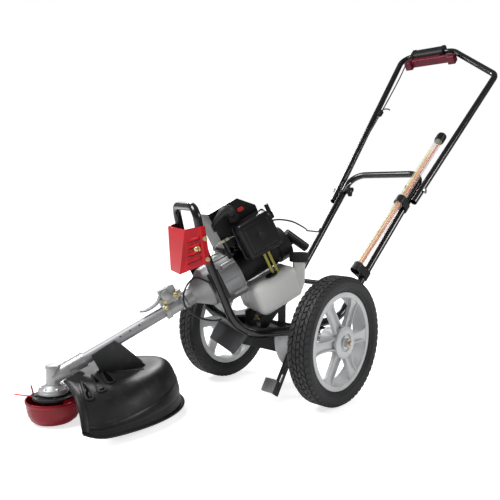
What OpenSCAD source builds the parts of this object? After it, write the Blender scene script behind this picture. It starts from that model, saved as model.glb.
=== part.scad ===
/* [Wheels] */
// Radius of each tyre
tyre_r = 152.4; // [140:0.1:165]
// Width of each tyre
tyre_w = 60; // [52:1:64]
// Height of the tyre's section, from the rim to the tread
tyre_h = 42.4; // [37:0.1:51]
// Distance from the centre plane to the middle of each wheel
wheel_x = 177.7; // [174:0.1:200]
// Radius of the hub's outer disc
hub_r = 38; // [30:1:44]
// Spokes in each wheel
spoke_count = 6; // [5:1:6]
// Diameter of the axle
axle_d = 12.7; // [11:0.1:13.5]

/* [Handle] */
// Diameter of the handle tubes
tube_d = 20; // [18:0.5:21]
// Wall of the handle tubes
tube_wall = 1; // [0.8:0.1:2]
// Slope of the handle above the ground, in degrees
handle_tilt = 43.5; // [40:0.5:48]
// Height of the fold bolts above the ground
fold_z = 501; // [480:1:520]
// Distance of the fold bolts behind the axle
fold_y = 480; // [460:1:500]
// Half distance between the lower tubes at the fold bolts
lower_x = 120; // [116:1:126]
// Length of the upper handle from the fold bolts to the hand grip
upper_len = 750; // [650:1:800]
// Length of the upper handle from the fold bolts to its short corner
short_len = 552; // [480:1:600]
// Diameter of the fold bolts
fold_bolt_d = 8; // [6:0.5:9]

/* [Storage tube] */
// Outer diameter of the clear tube
store_d = 24; // [20:1:24]
// Length of the clear tube
store_len = 525; // [420:1:540]

/* [Front] */
// Turn of the front assembly to the operator's right, in degrees
swivel_turn = 26; // [0:1:26]
// Distance of the swivel pin in front of the axle
swivel_y = 54; // [52:1:60]
// Diameter of the swivel pin
swivel_d = 16; // [14:0.5:20]
// Half distance between the cradle tubes
cradle_x = 82; // [80:0.5:84]
// Diameter of the cradle tubes
cradle_d = 19; // [17:0.5:20]
// Height of the cradle loop above the ground
loop_z = 463; // [455:1:480]

/* [Boom] */
// Slope of the boom below the horizontal, in degrees
boom_tilt = 27.1; // [26.5:0.1:27.5]
// Height of the boom axis above the ground at the swivel pin
boom_z = 347.3; // [345:0.1:350]
// Diameter of the boom tube
boom_d = 26; // [25:0.5:27]
// Wall of the boom tube
boom_wall = 1.5; // [1:0.1:2]
// Distance from the swivel pin to the cutting head's spindle
head_f = 491.6; // [488:0.1:495]
// Diameter of the drive shaft
shaft_d = 8; // [7:0.5:10]

/* [Cutting head] */
// Radius of the glide bowl
bowl_r = 60; // [54:1:64]
// Height of the glide bowl
bowl_h = 52; // [44:1:52]
// Radius of the gearbox body
gearbox_r = 31; // [28:0.5:34]
// Half width of the debris shield
shield_x = 190; // [170:1:200]
// Reach of the debris shield behind the spindle
shield_back = 288; // [260:1:300]
// Diameter of the cutting line
line_d = 3.3; // [2.4:0.1:4]

/* [Engine] */
// Radius of the fan housing
fan_r = 58; // [56:0.5:60]
// Half width of the fuel tank
tank_x = 70; // [60:1:74]
// Height of the fuel tank
tank_h = 78; // [72:1:96]
// Height of the filter cover
filter_h = 92; // [80:1:94]
// Depth of the filter cover
filter_t = 40; // [34:1:46]

/* [Hidden] */
$fn = 64;

// Clearances shared by every fit
fit_gap = 0.05;
seat_gap = 0.1;
run_gap = 0.3;
weld_lap = 0.6;
cut = 2;

module in_part() { translate([-mid_x, -mid_y, 0]) children(); }
// Front frame: -Y runs forward along the boom's plan direction, +X is the near side
module in_front() { in_part() translate([0, -swivel_y, 0]) rotate([0, 0, -swivel_turn]) children(); }
// Engine frame: -Y runs forward down the boom axis, +Z stands square to it
module in_engine() { in_front() translate([0, 0, boom_z]) rotate([boom_tilt, 0, 0]) children(); }
module in_head() { in_front() translate([0, -head_f, 0]) children(); }
// A solid of revolution that starts at distance a down the boom axis
module axial(a) { translate([0, -a, 0]) rotate([90, 0, 0]) children(); }
// A side outline drawn in (y, z), extruded from x0 to x1
module across(x0, x1) { translate([x0, 0, 0]) rotate([90, 0, 90]) linear_extrude(x1 - x0) children(); }
module both_sides() { children(); mirror([1, 0, 0]) children(); }

function unit(v) = v / norm(v);
function turn(u, w) = acos(max(-1, min(1, u * w)));
function on_handle(x, s, n) = [x, fold_y + s * cos(handle_tilt) - n * sin(handle_tilt),
  fold_z + s * sin(handle_tilt) + n * cos(handle_tilt)];

module rounded_square(size, r) {
  translate([r, 0]) square([size.x - 2 * r, size.y]);
  translate([0, r]) square([size.x, size.y - 2 * r]);
  for (x = [r, size.x - r]) for (y = [r, size.y - r]) translate([x, y]) circle(r);
}
// Rounded side outline between distances a0 and a1 down the boom axis and heights u0 and u1
module side_box(a0, a1, u0, u1, r) { translate([-a1, u0]) rounded_square([a1 - a0, u1 - u0], r); }

module rod(a, b, r) {
  v = b - a;
  translate(a) rotate([0, acos(v.z / norm(v)), atan2(v.y, v.x)]) cylinder(h = norm(v), r = r);
}
// A round bar along straight runs joined by bends of the given radii, with a thin collar over each joint
joint_gap = 0.5;
joint_half = 1.5;
joint_rise = 0.1;
module bent_bar(p, bend, r) {
  n = len(p);
  d = [for (i = [0 : n - 2]) unit(p[i + 1] - p[i])];
  lap = [for (i = [0 : n - 1]) i == 0 || i == n - 1 ? 0 : bend[i] * tan(turn(d[i - 1], d[i]) / 2)];
  slack = [for (i = [0 : n - 1]) i == 0 || i == n - 1 ? 0 : joint_gap];
  for (i = [0 : n - 2]) rod(p[i] + d[i] * (lap[i] + slack[i]), p[i + 1] - d[i] * (lap[i + 1] + slack[i + 1]), r);
  for (i = [1 : n - 2]) {
    y = d[i - 1];
    z = unit(cross(y, d[i]));
    x = cross(y, z);
    c = p[i] - y * lap[i] - x * bend[i];
    spare = joint_gap / bend[i] * 180 / PI;
    multmatrix([[x.x, y.x, z.x, c.x], [x.y, y.y, z.y, c.y], [x.z, y.z, z.z, c.z], [0, 0, 0, 1]])
      rotate([0, 0, spare]) rotate_extrude(angle = turn(y, d[i]) - 2 * spare) translate([bend[i], 0]) circle(r);
    rod(p[i] - y * (lap[i] + joint_half), p[i] - y * (lap[i] - joint_half), r + joint_rise);
    rod(p[i] + d[i] * (lap[i] - joint_half), p[i] + d[i] * (lap[i] + joint_half), r + joint_rise);
  }
}
function stretched(p, e) = let(n = len(p)) [for (i = [0 : n - 1])
  i == 0 ? p[0] - e * unit(p[1] - p[0]) : i == n - 1 ? p[i] + e * unit(p[i] - p[i - 1]) : p[i]];
module bent_tube(p, bend, d, wall) {
  difference() {
    bent_bar(p, bend, d / 2);
    bent_bar(stretched(p, cut), bend, d / 2 - wall);
  }
}

// A smooth route through chosen points, with k steps between each pair
function spline(a, b, c, d, t) = b + (c - a) * t / 2 + (a - 5 * b / 2 + 2 * c - d / 2) * t * t
  + (3 * (b - c) + d - a) * t * t * t / 2;
function smooth(p, k) = let(m = len(p) - 1) concat([for (i = [0 : m - 1]) for (j = [0 : k - 1])
  spline(p[max(i - 1, 0)], p[i], p[i + 1], p[min(i + 2, m)], j / k)], [p[m]]);
// A cord: one tube swept along a route, with its seam turned to the given side
module cord(p, r, sides, side) {
  m = len(p) - 1;
  rings = [for (i = [0 : m]) let(t = unit(p[min(i + 1, m)] - p[max(i - 1, 0)]), a = unit(cross(t, side)),
    b = cross(t, a)) for (j = [0 : sides - 1]) p[i] + r * (cos(360 * j / sides) * a + sin(360 * j / sides) * b)];
  walls = [for (i = [0 : m - 1]) for (j = [0 : sides - 1]) let(q = i * sides + j,
    w = i * sides + (j + 1) % sides) each [[q, q + sides, w + sides], [q, w + sides, w]]];
  ends = [for (j = [1 : sides - 2]) each [[0, j, j + 1], [m * sides, m * sides + j + 1, m * sides + j]]];
  polyhedron(rings, concat(walls, ends));
}
// A sheet between two grids of points, its outer and its inner face
module thick_sheet(outer, inner) {
  rows = len(outer);
  cols = len(outer[0]);
  total = rows * cols;
  points = concat([for (row = outer) each row], [for (row = inner) each row]);
  function quad(a, b, c, d) = [[a, b, c], [a, c, d]];
  faces = [for (i = [0 : rows - 2]) for (j = [0 : cols - 2]) let(q = i * cols + j) each concat(
    quad(q, q + cols, q + cols + 1, q + 1),
    quad(total + q, total + q + 1, total + q + cols + 1, total + q + cols))];
  side_edges = [for (i = [0 : rows - 2]) let(q = i * cols, w = i * cols + cols - 1) each concat(
    quad(q, total + q, total + q + cols, q + cols), quad(w, w + cols, total + w + cols, total + w))];
  end_edges = [for (j = [0 : cols - 2]) let(q = j, w = (rows - 1) * cols + j) each concat(
    quad(q, q + 1, total + q + 1, total + q), quad(w, total + w, total + w + 1, w + 1))];
  polyhedron(points, concat(faces, side_edges, end_edges));
}

// Wheels, with +Z outward along the axle
axle_r = axle_d / 2;
axle_z = tyre_r;
rim_r = tyre_r - tyre_h;
rim_half = 19.6;
rim_wall = 7;
lip_t = 2.6;
lip_h = 5;
tread_half = 22;
tread_edge = 4;
groove_half = 2.5;
groove_depth = 4;
wall_bulge_share = 0.45;
hub_core_r = 28.5;
hub_in = 26;
hub_out = 29.3;
hub_disc_t = 7;
hub_dish_r = 21;
hub_dish = 3;
spoke_w = 27;
spoke_rib = 5;
spoke_web = 5;
spoke_half = 12;
spoke_lap = 1.5;
spoke_from = 0.6 * hub_core_r;
spoke_back = hub_out - hub_disc_t + spoke_lap - spoke_half;
axle_end = 45;
nut_r = 11;
nut_t = 9;
washer_r = 15;
washer_t = 2;
module wheel_at(side) { in_part() translate([side * wheel_x, 0, axle_z]) rotate([0, side * 90, 0]) children(); }
bead_half = rim_half - lip_t - seat_gap;
bulge_r = rim_r + tyre_h * wall_bulge_share;
function half_tread(k) = [[rim_r, bead_half * k], [rim_r + lip_h + run_gap, bead_half * k],
  [rim_r + lip_h + lip_t, rim_half * k], [bulge_r, tyre_w / 2 * k], [tyre_r - 2 * tread_edge, tyre_w / 2 * k],
  [tyre_r - tread_edge, (tread_half + tread_edge) * k], [tyre_r, tread_half * k],
  [tyre_r, groove_half * 2 * k], [tyre_r - groove_depth, groove_half * k]];
function reversed(v) = [for (i = [len(v) - 1 : -1 : 0]) v[i]];
module tyre(side) {
  color([0.09, 0.09, 0.09]) wheel_at(side)
    rotate_extrude($fn = 96) polygon(concat(half_tread(1), reversed(half_tread(-1))));
}
module left_tyre() { tyre(1); }
module right_tyre() { tyre(-1); }
module rim(side) {
  seat = rim_r - seat_gap;
  color([0.6, 0.61, 0.62]) wheel_at(side) difference() {
    union() {
      rotate_extrude($fn = 96) polygon([[rim_r - rim_wall, -rim_half], [rim_r + lip_h, -rim_half],
        [rim_r + lip_h, -rim_half + lip_t], [seat, -rim_half + lip_t], [seat, rim_half - lip_t],
        [rim_r + lip_h, rim_half - lip_t], [rim_r + lip_h, rim_half], [rim_r - rim_wall, rim_half]]);
      translate([0, 0, -hub_in]) cylinder(h = hub_in + hub_out - hub_disc_t + spoke_lap / 2, r = hub_core_r);
      translate([0, 0, hub_out - hub_disc_t]) cylinder(h = hub_disc_t, r = hub_r);
      for (i = [0 : spoke_count - 1]) rotate([0, 0, 360 * i / spoke_count]) {
        translate([spoke_from, -spoke_w / 2, spoke_back])
          cube([rim_r - rim_wall / 2 - spoke_from, spoke_w, spoke_web]);
        for (e = [0, 1]) translate([spoke_from, e * (spoke_w - spoke_rib) - spoke_w / 2, spoke_back])
          cube([rim_r - rim_wall / 2 - spoke_from, spoke_rib, spoke_half]);
      }
    }
    translate([0, 0, -hub_in - cut]) cylinder(h = hub_in + hub_out + 2 * cut, r = axle_r + fit_gap);
    translate([0, 0, hub_out - hub_dish]) cylinder(h = hub_dish + cut, r = hub_dish_r);
  }
}
module left_rim() { rim(1); }
module right_rim() { rim(-1); }

// Carriage: a box beam in front of the axle, plates at the axle and a rear cross plate
plate_t = 4;
beam_rise = 7.6;
beam_drop = 42;
beam_half = 60;
beam_front = 16;
beam_back = 14;
rear_y = 46;
rear_plate_y = 62;
flange_t = 3;
flange_w = 20;
plate_in = 8;
flange_y = 8;
plate_drop = 26;
beam_z = axle_z + beam_rise;
lower_z = beam_z + flange_t + tube_d / 2 + seat_gap;
lower_s = (lower_z - fold_z) / sin(handle_tilt);
spread_share = 0.048;
foot_x = lower_x + spread_share * lower_s;
axle_half = wheel_x + axle_end;
plate_x = foot_x - plate_in;
nut_z = hub_out + run_gap - hub_dish;
bolt_r = 3;
bolt_head_r = 5.5;
bolt_head_t = 4;
bolt_y = [22, 48];
module axle() {
  color([0.7, 0.7, 0.68]) in_part() translate([0, 0, axle_z]) rotate([0, 90, 0]) {
    translate([0, 0, -axle_half]) cylinder(h = 2 * axle_half, r = axle_r);
    for (k = [0, 1]) rotate([0, k * 180, 0]) {
      translate([0, 0, wheel_x + nut_z]) ring(washer_r, axle_r + fit_gap, washer_t);
      translate([0, 0, wheel_x + nut_z + washer_t]) difference() {
        cylinder(h = nut_t, r = nut_r, $fn = 6);
        translate([0, 0, -cut]) cylinder(h = nut_t + 2 * cut, r = axle_r + fit_gap);
      }
      translate([0, 0, plate_x + plate_t / 2 + seat_gap])
        ring(axle_r + plate_t, axle_r + fit_gap, wheel_x - hub_in - run_gap - plate_x - plate_t / 2 - seat_gap);
    }
  }
}
module ring(r, bore, h) {
  difference() {
    cylinder(h = h, r = r);
    translate([0, 0, -cut]) cylinder(h = h + 2 * cut, r = bore);
  }
}
lock_x = 40;
lock_r = 4;
module carriage_frame() {
  front = -swivel_y - beam_front;
  color([0.07, 0.07, 0.07]) in_part() difference() {
    union() {
      translate([-beam_half, front, beam_z - plate_t]) cube([2 * beam_half, -beam_back - front, plate_t]);
      translate([-beam_half, front, beam_z - beam_drop]) cube([2 * beam_half, plate_t, beam_drop]);
      both_sides() translate([beam_half - plate_t, front, beam_z - beam_drop])
        cube([plate_t, rear_y + plate_t - front, beam_drop]);
      translate([-plate_x, rear_y, beam_z - beam_drop]) cube([2 * plate_x, plate_t, beam_drop]);
      both_sides() translate([plate_x - plate_t / 2, -plate_drop, axle_z - plate_drop])
        cube([plate_t, rear_plate_y + plate_drop, plate_drop + beam_rise]);
      both_sides() translate([foot_x - flange_w / 2, flange_y, beam_z])
        cube([flange_w, rear_plate_y - flange_y, flange_t]);
      both_sides() translate([plate_x - plate_t / 2, flange_y, beam_z - weld_lap])
        cube([plate_t, rear_plate_y - flange_y, flange_t]);
    }
    translate([-foot_x - cut, 0, axle_z]) rotate([0, 90, 0])
      cylinder(h = 2 * (foot_x + cut) + plate_t, r = axle_r + fit_gap);
    translate([0, -swivel_y, beam_z - plate_t - cut]) cylinder(h = plate_t + 2 * cut, r = swivel_d / 2 + fit_gap);
    translate([lock_x, -swivel_y, beam_z - plate_t - cut]) cylinder(h = plate_t + 2 * cut, r = lock_r + fit_gap);
    both_sides() for (y = bolt_y) translate([foot_x, y, beam_z - cut])
      cylinder(h = flange_t + 2 * cut, r = bolt_r + fit_gap);
  }
}
fold_gap = 2.4;
upper_x = lower_x + tube_d + fold_gap;
fold_head_r = 8;
fold_head_t = 4;
knob_t = 22;
knob_r = 17;
bolt_reach = 14;
lean_gap = 1.6;
module frame_bolts() {
  color([0.72, 0.7, 0.6]) in_part() both_sides() {
    for (y = bolt_y) translate([foot_x, y, beam_z - bolt_head_t]) {
      cylinder(h = bolt_head_t, r = bolt_head_r, $fn = 6);
      cylinder(h = bolt_head_t + flange_t + bolt_reach / 2, r = bolt_r);
    }
    translate([lower_x - tube_d / 2 - knob_t + bolt_reach / 2, fold_y, fold_z]) rotate([0, 90, 0]) {
      cylinder(h = upper_x - lower_x + tube_d + knob_t - bolt_reach / 2 + lean_gap, r = fold_bolt_d / 2);
      translate([0, 0, upper_x - lower_x + tube_d + knob_t - bolt_reach / 2 + lean_gap - weld_lap])
        cylinder(h = fold_head_t, r = fold_head_r);
    }
  }
}
lower_top = 74;
foot_bend = 80;
corner_bend = 45;
brace_s = -372;
brace_d = 14;
function lower_at(s) = lower_x + spread_share * s;
lower_path = [[foot_x, flange_y, lower_z], [foot_x, fold_y + lower_s * cos(handle_tilt), lower_z],
  on_handle(lower_at(lower_top), lower_top, 0), on_handle(-lower_at(lower_top), lower_top, 0),
  [-foot_x, fold_y + lower_s * cos(handle_tilt), lower_z], [-foot_x, flange_y, lower_z]];
module lower_handle() {
  brace = on_handle(lower_at(brace_s) - tube_d / 2 + weld_lap, brace_s, 0);
  color([0.06, 0.06, 0.065]) in_part() difference() {
    union() {
      bent_tube(lower_path, [0, foot_bend, corner_bend, corner_bend, foot_bend, 0], tube_d, tube_wall);
      rod([-brace.x, brace.y, brace.z], brace, brace_d / 2);
    }
    translate([-upper_x, fold_y, fold_z]) rotate([0, 90, 0])
      cylinder(h = 2 * upper_x, r = fold_bolt_d / 2 + fit_gap);
    both_sides() for (y = bolt_y) translate([foot_x, y, beam_z])
      cylinder(h = tube_d, r = bolt_r + fit_gap);
  }
}
swivel_t = 5;
swivel_z = beam_z + run_gap;
pin_head_r = 14;
pin_head_t = 6;
pin_nut_t = 8;
pin_nut_r = 11.5;
module swivel_pin() {
  color([0.6, 0.6, 0.58]) in_part() translate([0, -swivel_y, 0]) {
    translate([0, 0, beam_z - plate_t - pin_nut_t]) cylinder(h = pin_nut_t, r = pin_nut_r, $fn = 6);
    translate([0, 0, beam_z - plate_t - pin_nut_t])
      cylinder(h = pin_nut_t + plate_t + swivel_t + 2 * run_gap, r = swivel_d / 2);
    translate([0, 0, swivel_z + swivel_t + run_gap]) cylinder(h = pin_head_t, r = pin_head_r);
  }
}

// Clear storage tube on the near lower tube
store_base = -325;
store_x = 121;
store_share = 0.085;
store_rise = 27;
store_wall = 1.5;
store_lip = 10;
clip_len = 24;
clip_s = [-340, -82];
clip_wall = 3;
cap_len = 28;
function store_at(s) = on_handle(store_x + store_share * s, s, store_rise);
module along_store(s) {
  a = store_at(s);
  v = unit(store_at(s + store_len) - a);
  translate(a) rotate([0, acos(v.z), atan2(v.y, v.x)]) children();
}
module storage_tube() {
  color([0.85, 0.85, 0.8, 0.35]) in_part() along_store(store_base) difference() {
    cylinder(h = store_len, r = store_d / 2);
    translate([0, 0, store_wall]) cylinder(h = store_len, r = store_d / 2 - store_wall);
  }
}
module storage_clips() {
  color([0.05, 0.05, 0.05]) in_part() for (s = clip_s) difference() {
    hull() {
      along_store(s) cylinder(h = clip_len, r = store_d / 2 + clip_wall, $fn = 32);
      rod(on_handle(lower_at(s), s, 0), on_handle(lower_at(s + clip_len), s + clip_len, 0), tube_d / 2 + clip_wall,
        $fn = 32);
    }
    along_store(s - cut) cylinder(h = clip_len + 2 * cut, r = store_d / 2 + seat_gap);
    rod(on_handle(lower_at(s - clip_len), s - clip_len, 0),
      on_handle(lower_at(s + 2 * clip_len), s + 2 * clip_len, 0), tube_d / 2 + seat_gap);
  }
}
module storage_cap() {
  cap_z = store_len - store_lip;
  color([0.05, 0.05, 0.05]) in_part() along_store(store_base) translate([0, 0, cap_z]) difference() {
    cylinder(h = cap_len, r = store_d / 2 + clip_wall - store_wall);
    translate([0, 0, -cut]) cylinder(h = store_lip + cut + seat_gap, r = store_d / 2 + fit_gap);
  }
}
spare_r = 1.6;
spare_short = [20, 55, 85];
spare_ring = 5;
spare_colours = [[0.8, 0.1, 0.08], [0.9, 0.75, 0.3], [0.9, 0.4, 0.15]];
module spare_lines() {
  spares = len(spare_short);
  in_part() along_store(store_base) for (i = [0 : spares - 1]) rotate([0, 0, 360 * i / spares])
    color(spare_colours[i]) translate([spare_ring, 0, store_wall + seat_gap])
      cylinder(h = store_len - spare_short[i], r = spare_r);
}

// Throttle cable: a loop off the engine, a run up the lower tube and a run up the upper tube
cable_r = 2.2;
cable_sides = 8;
loop_route = [[0, -54, 415], [2, -46, 421], [6, -34, 426], [13, -8, 429], [20, 34, 423], [12, 84, 409],
  [-12, 134, 399], [-44, 184, 391], [-69, 240, 386], [-90, 300, 381], [-106, 330, 388]];
// Stops of the handle runs: side, distance up the handle, height out of it
run_stops = [[-107, -186, 14], [-110, -140, 14], [-114, -80, 14], [-118, -20, 14]];
low_stops = [[-130, 40, 13], [-136, 120, 13], [-146, 230, 13]];
high_stops = [[-152, -330, 13], [-158, -170, 17], [-162, -62, 26], [-163, -19, 20]];
top_stops = concat(low_stops, [for (p = high_stops) [p.x, upper_len + p.y, p.z]]);
fold_stops = [[-118, -19, 14], [-120, -4, 18], [-124, 14, 20], [-128, 30, 16], [-130, 39, 13.2]];
function on_handles(v) = [for (p = v) on_handle(p[0], p[1], p[2])];
module throttle_cable_run() {
  color([0.05, 0.05, 0.05]) in_part() cord(smooth(on_handles(run_stops), 3), cable_r, cable_sides, [1, 0, 0]);
}
module throttle_cable_top() {
  color([0.05, 0.05, 0.05]) in_part() cord(smooth(on_handles(top_stops), 4), cable_r, cable_sides, [0, 1, 0]);
}
module throttle_loop() {
  color([0.05, 0.05, 0.05]) in_part() {
    cord(smooth(loop_route, 3), cable_r, cable_sides, [0, 0, 1]);
    cord(smooth(on_handles(fold_stops), 3), cable_r, cable_sides, [1, 0, 0]);
  }
}

// Foot pedal on the axle, and the lock pin that it draws down
pedal_x = 63;
pedal_t = 4;
pedal_boss_r = 13;
pedal_r = 84;
pedal_bar_w = 22;
pedal_bar_t = 3;
pedal_bar_len = 104;
pedal_lean = 34;
pedal_from = 56;
pad_w = 32;
pad_len = 32;
pad_t = 5;
slot_w = 7;
slot_len = 20;
module at_pedal() { in_part() translate([0, 0, axle_z]) children(); }
module pedal_bar_at() { at_pedal() translate([pedal_x + pedal_t, 0, 0]) rotate([-pedal_lean, 0, 0]) children(); }
module pedal_lever() {
  color([0.45, 0.45, 0.45]) at_pedal() across(pedal_x, pedal_x + pedal_t) difference() {
    intersection() {
      union() {
        circle(pedal_boss_r);
        intersection() {
          circle(pedal_r);
          polygon([[0, pedal_boss_r], [-pedal_r, pedal_boss_r], [-pedal_r, -pedal_r], [-pedal_boss_r, -pedal_r],
            [pedal_boss_r / 2, 0]]);
        }
      }
      translate([-pedal_r, beam_rise - run_gap - pedal_r * 2]) square([pedal_r * 2, pedal_r * 2]);
    }
    circle(axle_r + fit_gap);
  }
  color([0.06, 0.06, 0.06]) pedal_bar_at() difference() {
    translate([seat_gap, -pedal_bar_w / 2, -pedal_from - pedal_bar_len])
      cube([pedal_bar_t, pedal_bar_w, pedal_bar_len]);
    translate([-cut, -slot_w / 2, -pedal_from - pedal_bar_len + pad_len])
      cube([pedal_bar_t + 2 * cut, slot_w, slot_len]);
  }
  color([0.4, 0.4, 0.4]) pedal_bar_at()
    translate([pedal_bar_t - pad_w, -pedal_bar_w / 2 - pad_t - seat_gap, -pedal_from - pedal_bar_len])
      cube([pad_w, pad_t, pad_len]);
}
lock_len = 40;
lock_head_r = 8;
lock_head_t = 5;
module lock_pin() {
  color([0.65, 0.65, 0.62]) in_part() translate([lock_x, -swivel_y, beam_z - lock_len]) {
    cylinder(h = lock_len, r = lock_r);
    cylinder(h = lock_head_t, r = lock_head_r);
  }
}

// Upper handle, hand grip and throttle bail
stub_len = 47;
far_bend = 38;
near_bend = 42;
peak_bend = 60;
peak_x = -16;
grip_far = -172;
grip_near = -48;
grip_h = 48;
grip_depth = 38;
grip_round = 16;
collar_len = 9;
collar_rise = 3;
bail_gap = 6;
bail_h = 12;
bail_w = 30;
bail_lobe = 26;
bail_step = 1.5;
bail_bar_w = 24;
bail_drop = 14;
bail_far = -180;
bail_near = 12;
bail_pin_r = 3;
bail_pin_n = -10;
ear_t = 5;
upper_share = 0.098;
function upper_at(s) = upper_x + upper_share * s;
upper_path = [on_handle(-upper_at(-stub_len), -stub_len, 0), on_handle(-upper_at(upper_len), upper_len, 0),
  on_handle(peak_x, upper_len, 0), on_handle(upper_at(short_len), short_len, 0),
  on_handle(upper_at(-stub_len), -stub_len, 0)];
module upper_handle() {
  color([0.06, 0.06, 0.065]) in_part() difference() {
    bent_tube(upper_path, [0, far_bend, peak_bend, near_bend, 0], tube_d, tube_wall);
    translate([-upper_x - tube_d, fold_y, fold_z]) rotate([0, 90, 0])
      cylinder(h = 2 * (upper_x + tube_d), r = fold_bolt_d / 2 + fit_gap);
  }
}
// Grip frame: +Y up the handle, +Z square out of it on the front
module on_grip() { in_part() translate(on_handle(0, upper_len, 0)) rotate([handle_tilt, 0, 0]) children(); }
module grip_block(x0, x1, h, depth, r) {
  on_grip() across(x0, x1) translate([-h / 2, -depth / 2]) rounded_square([h, depth], r);
}
bail_top = -grip_h / 2 - bail_gap;
bail_pin_s = bail_top - bail_h / 2;
module grip_housing() {
  color([0.13, 0.13, 0.14]) difference() {
    union() {
      grip_block(grip_far, grip_near, grip_h, grip_depth, grip_round);
      for (x = [grip_far, grip_near - collar_len])
        grip_block(x, x + collar_len, grip_h + collar_rise, grip_depth + collar_rise, grip_round);
      for (x = [grip_far, grip_near - ear_t]) on_grip() across(x, x + ear_t)
        translate([bail_pin_s, bail_pin_n - bail_h / 2]) square([-bail_pin_s, bail_h]);
      on_grip() translate([grip_far, bail_pin_s, bail_pin_n]) rotate([0, 90, 0])
        cylinder(h = grip_near - grip_far, r = bail_pin_r);
    }
    on_grip() translate([grip_far - cut, 0, 0]) rotate([0, 90, 0])
      cylinder(h = grip_near - grip_far + 2 * cut, r = tube_d / 2 + fit_gap);
  }
}
module throttle_bail() {
  bar_far = grip_far + ear_t + run_gap;
  bar_near = grip_near - ear_t - run_gap;
  under = bail_pin_s - bail_h / 2 - run_gap;
  color([0.4, 0.02, 0.05]) on_grip() difference() {
    union() {
      across(bar_far, bar_near) translate([under - bail_drop + bail_step, -bail_w / 2 + bail_step])
        square([bail_top - under + bail_drop - bail_step, bail_bar_w]);
      across(bail_far, bail_near) translate([under - bail_drop, -bail_w / 2])
        rounded_square([bail_drop, bail_w], bail_drop / 3);
      for (x = [bail_far, bail_near - bail_lobe]) across(x + bail_step, x + bail_lobe - bail_step)
        translate([under - 2 * bail_drop, -bail_w / 2 - bail_step])
          rounded_square([2 * bail_drop - bail_step, bail_w + 2 * bail_step], bail_drop / 2);
    }
    translate([bail_far - cut, bail_pin_s, bail_pin_n]) rotate([0, 90, 0])
      cylinder(h = bail_near - bail_far + 2 * cut, r = bail_pin_r + fit_gap);
  }
}
lobes = 3;
lobe_r = 7;
module knob(side) {
  color([0.05, 0.05, 0.05]) in_part() translate([side * (lower_x - tube_d / 2 - weld_lap), fold_y, fold_z])
    rotate([0, -side * 90, 0]) difference() {
      union() {
        cylinder(h = knob_t - bolt_reach / 2, r = knob_r - lobe_r);
        translate([0, 0, bolt_reach / 2]) for (i = [0 : lobes - 1]) rotate([0, 0, 360 * i / lobes])
          translate([knob_r - lobe_r, 0, 0]) cylinder(h = knob_t - bolt_reach, r = lobe_r);
      }
      translate([0, 0, -cut]) cylinder(h = knob_t + 2 * cut, r = fold_bolt_d / 2 + fit_gap);
    }
}
module left_knob() { knob(1); }
module right_knob() { knob(-1); }

// Cradle: one bent tube on a flat swivel plate
cradle_z = swivel_z + swivel_t + cradle_d / 2 - weld_lap;
cradle_wall = 1.5;
cradle_back = 45;
cradle_foot = 95;
cradle_knee = 174;
cradle_knee_z = 365;
cradle_loop_f = 195;
foot_radius = 90;
knee_radius = 140;
loop_radius = 27;
swivel_front = 62;
swivel_back = 40;
cradle_side = [[cradle_x, cradle_back, cradle_z], [cradle_x, -cradle_foot, cradle_z],
  [cradle_x, -cradle_knee, cradle_knee_z], [cradle_x, -cradle_loop_f, loop_z]];
function mirrored(p) = [for (i = [len(p) - 1 : -1 : 0]) [-p[i].x, p[i].y, p[i].z]];
cradle_bends = [0, foot_radius, knee_radius, loop_radius];
module cradle_frame() {
  color([0.06, 0.06, 0.06]) in_front() difference() {
    union() {
      bent_tube(concat(cradle_side, mirrored(cradle_side)), concat(cradle_bends, reversed(cradle_bends)), cradle_d,
        cradle_wall);
      translate([-cradle_x, -swivel_front, swivel_z]) cube([2 * cradle_x, swivel_front + swivel_back, swivel_t]);
    }
    translate([0, 0, swivel_z - cut]) cylinder(h = swivel_t + 2 * cut, r = swivel_d / 2 + fit_gap);
  }
}
// Red guard: front panel, slanted wings and side flanges from one sheet
guard_t = 2;
panel_top_x = 74;
panel_low_x = 42;
panel_top = [216, 414];
panel_low = [219, 312];
wing_x = 98;
wing_top = [187, 422];
wing_low = [176, 340];
flange_depth = 10;
guard_bolt_z = [350, 395];
function guard_row(panel, wing, half, t, flat) = concat(
  [[-wing_x + t, -wing.x + flange_depth, wing.y], [-wing_x + t, -wing.x + flat, wing.y]],
  [for (x = [-half, half]) [x, -panel.x + flat * 2, panel.y]],
  [[wing_x - t, -wing.x + flat, wing.y], [wing_x - t, -wing.x + flange_depth, wing.y]]);
module guard_bolt_at(z) {
  share = (z - wing_low.y) / (wing_top.y - wing_low.y);
  f = wing_low.x + (wing_top.x - wing_low.x) * share - flange_depth / 2;
  translate([wing_x, -f, z]) rotate([0, -90, 0]) children();
}
module guard_panel() {
  color([0.72, 0.04, 0.07]) in_front() difference() {
    thick_sheet(
      [guard_row(panel_low, wing_low, panel_low_x, 0, 0), guard_row(panel_top, wing_top, panel_top_x, 0, 0)],
      [guard_row(panel_low, wing_low, panel_low_x - guard_t / 2, guard_t, guard_t / 2),
       guard_row(panel_top, wing_top, panel_top_x - guard_t / 2, guard_t, guard_t / 2)]);
    both_sides() for (z = guard_bolt_z) guard_bolt_at(z) translate([0, 0, -cut])
      cylinder(h = guard_t + 2 * cut, r = bolt_r + fit_gap);
  }
}
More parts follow.
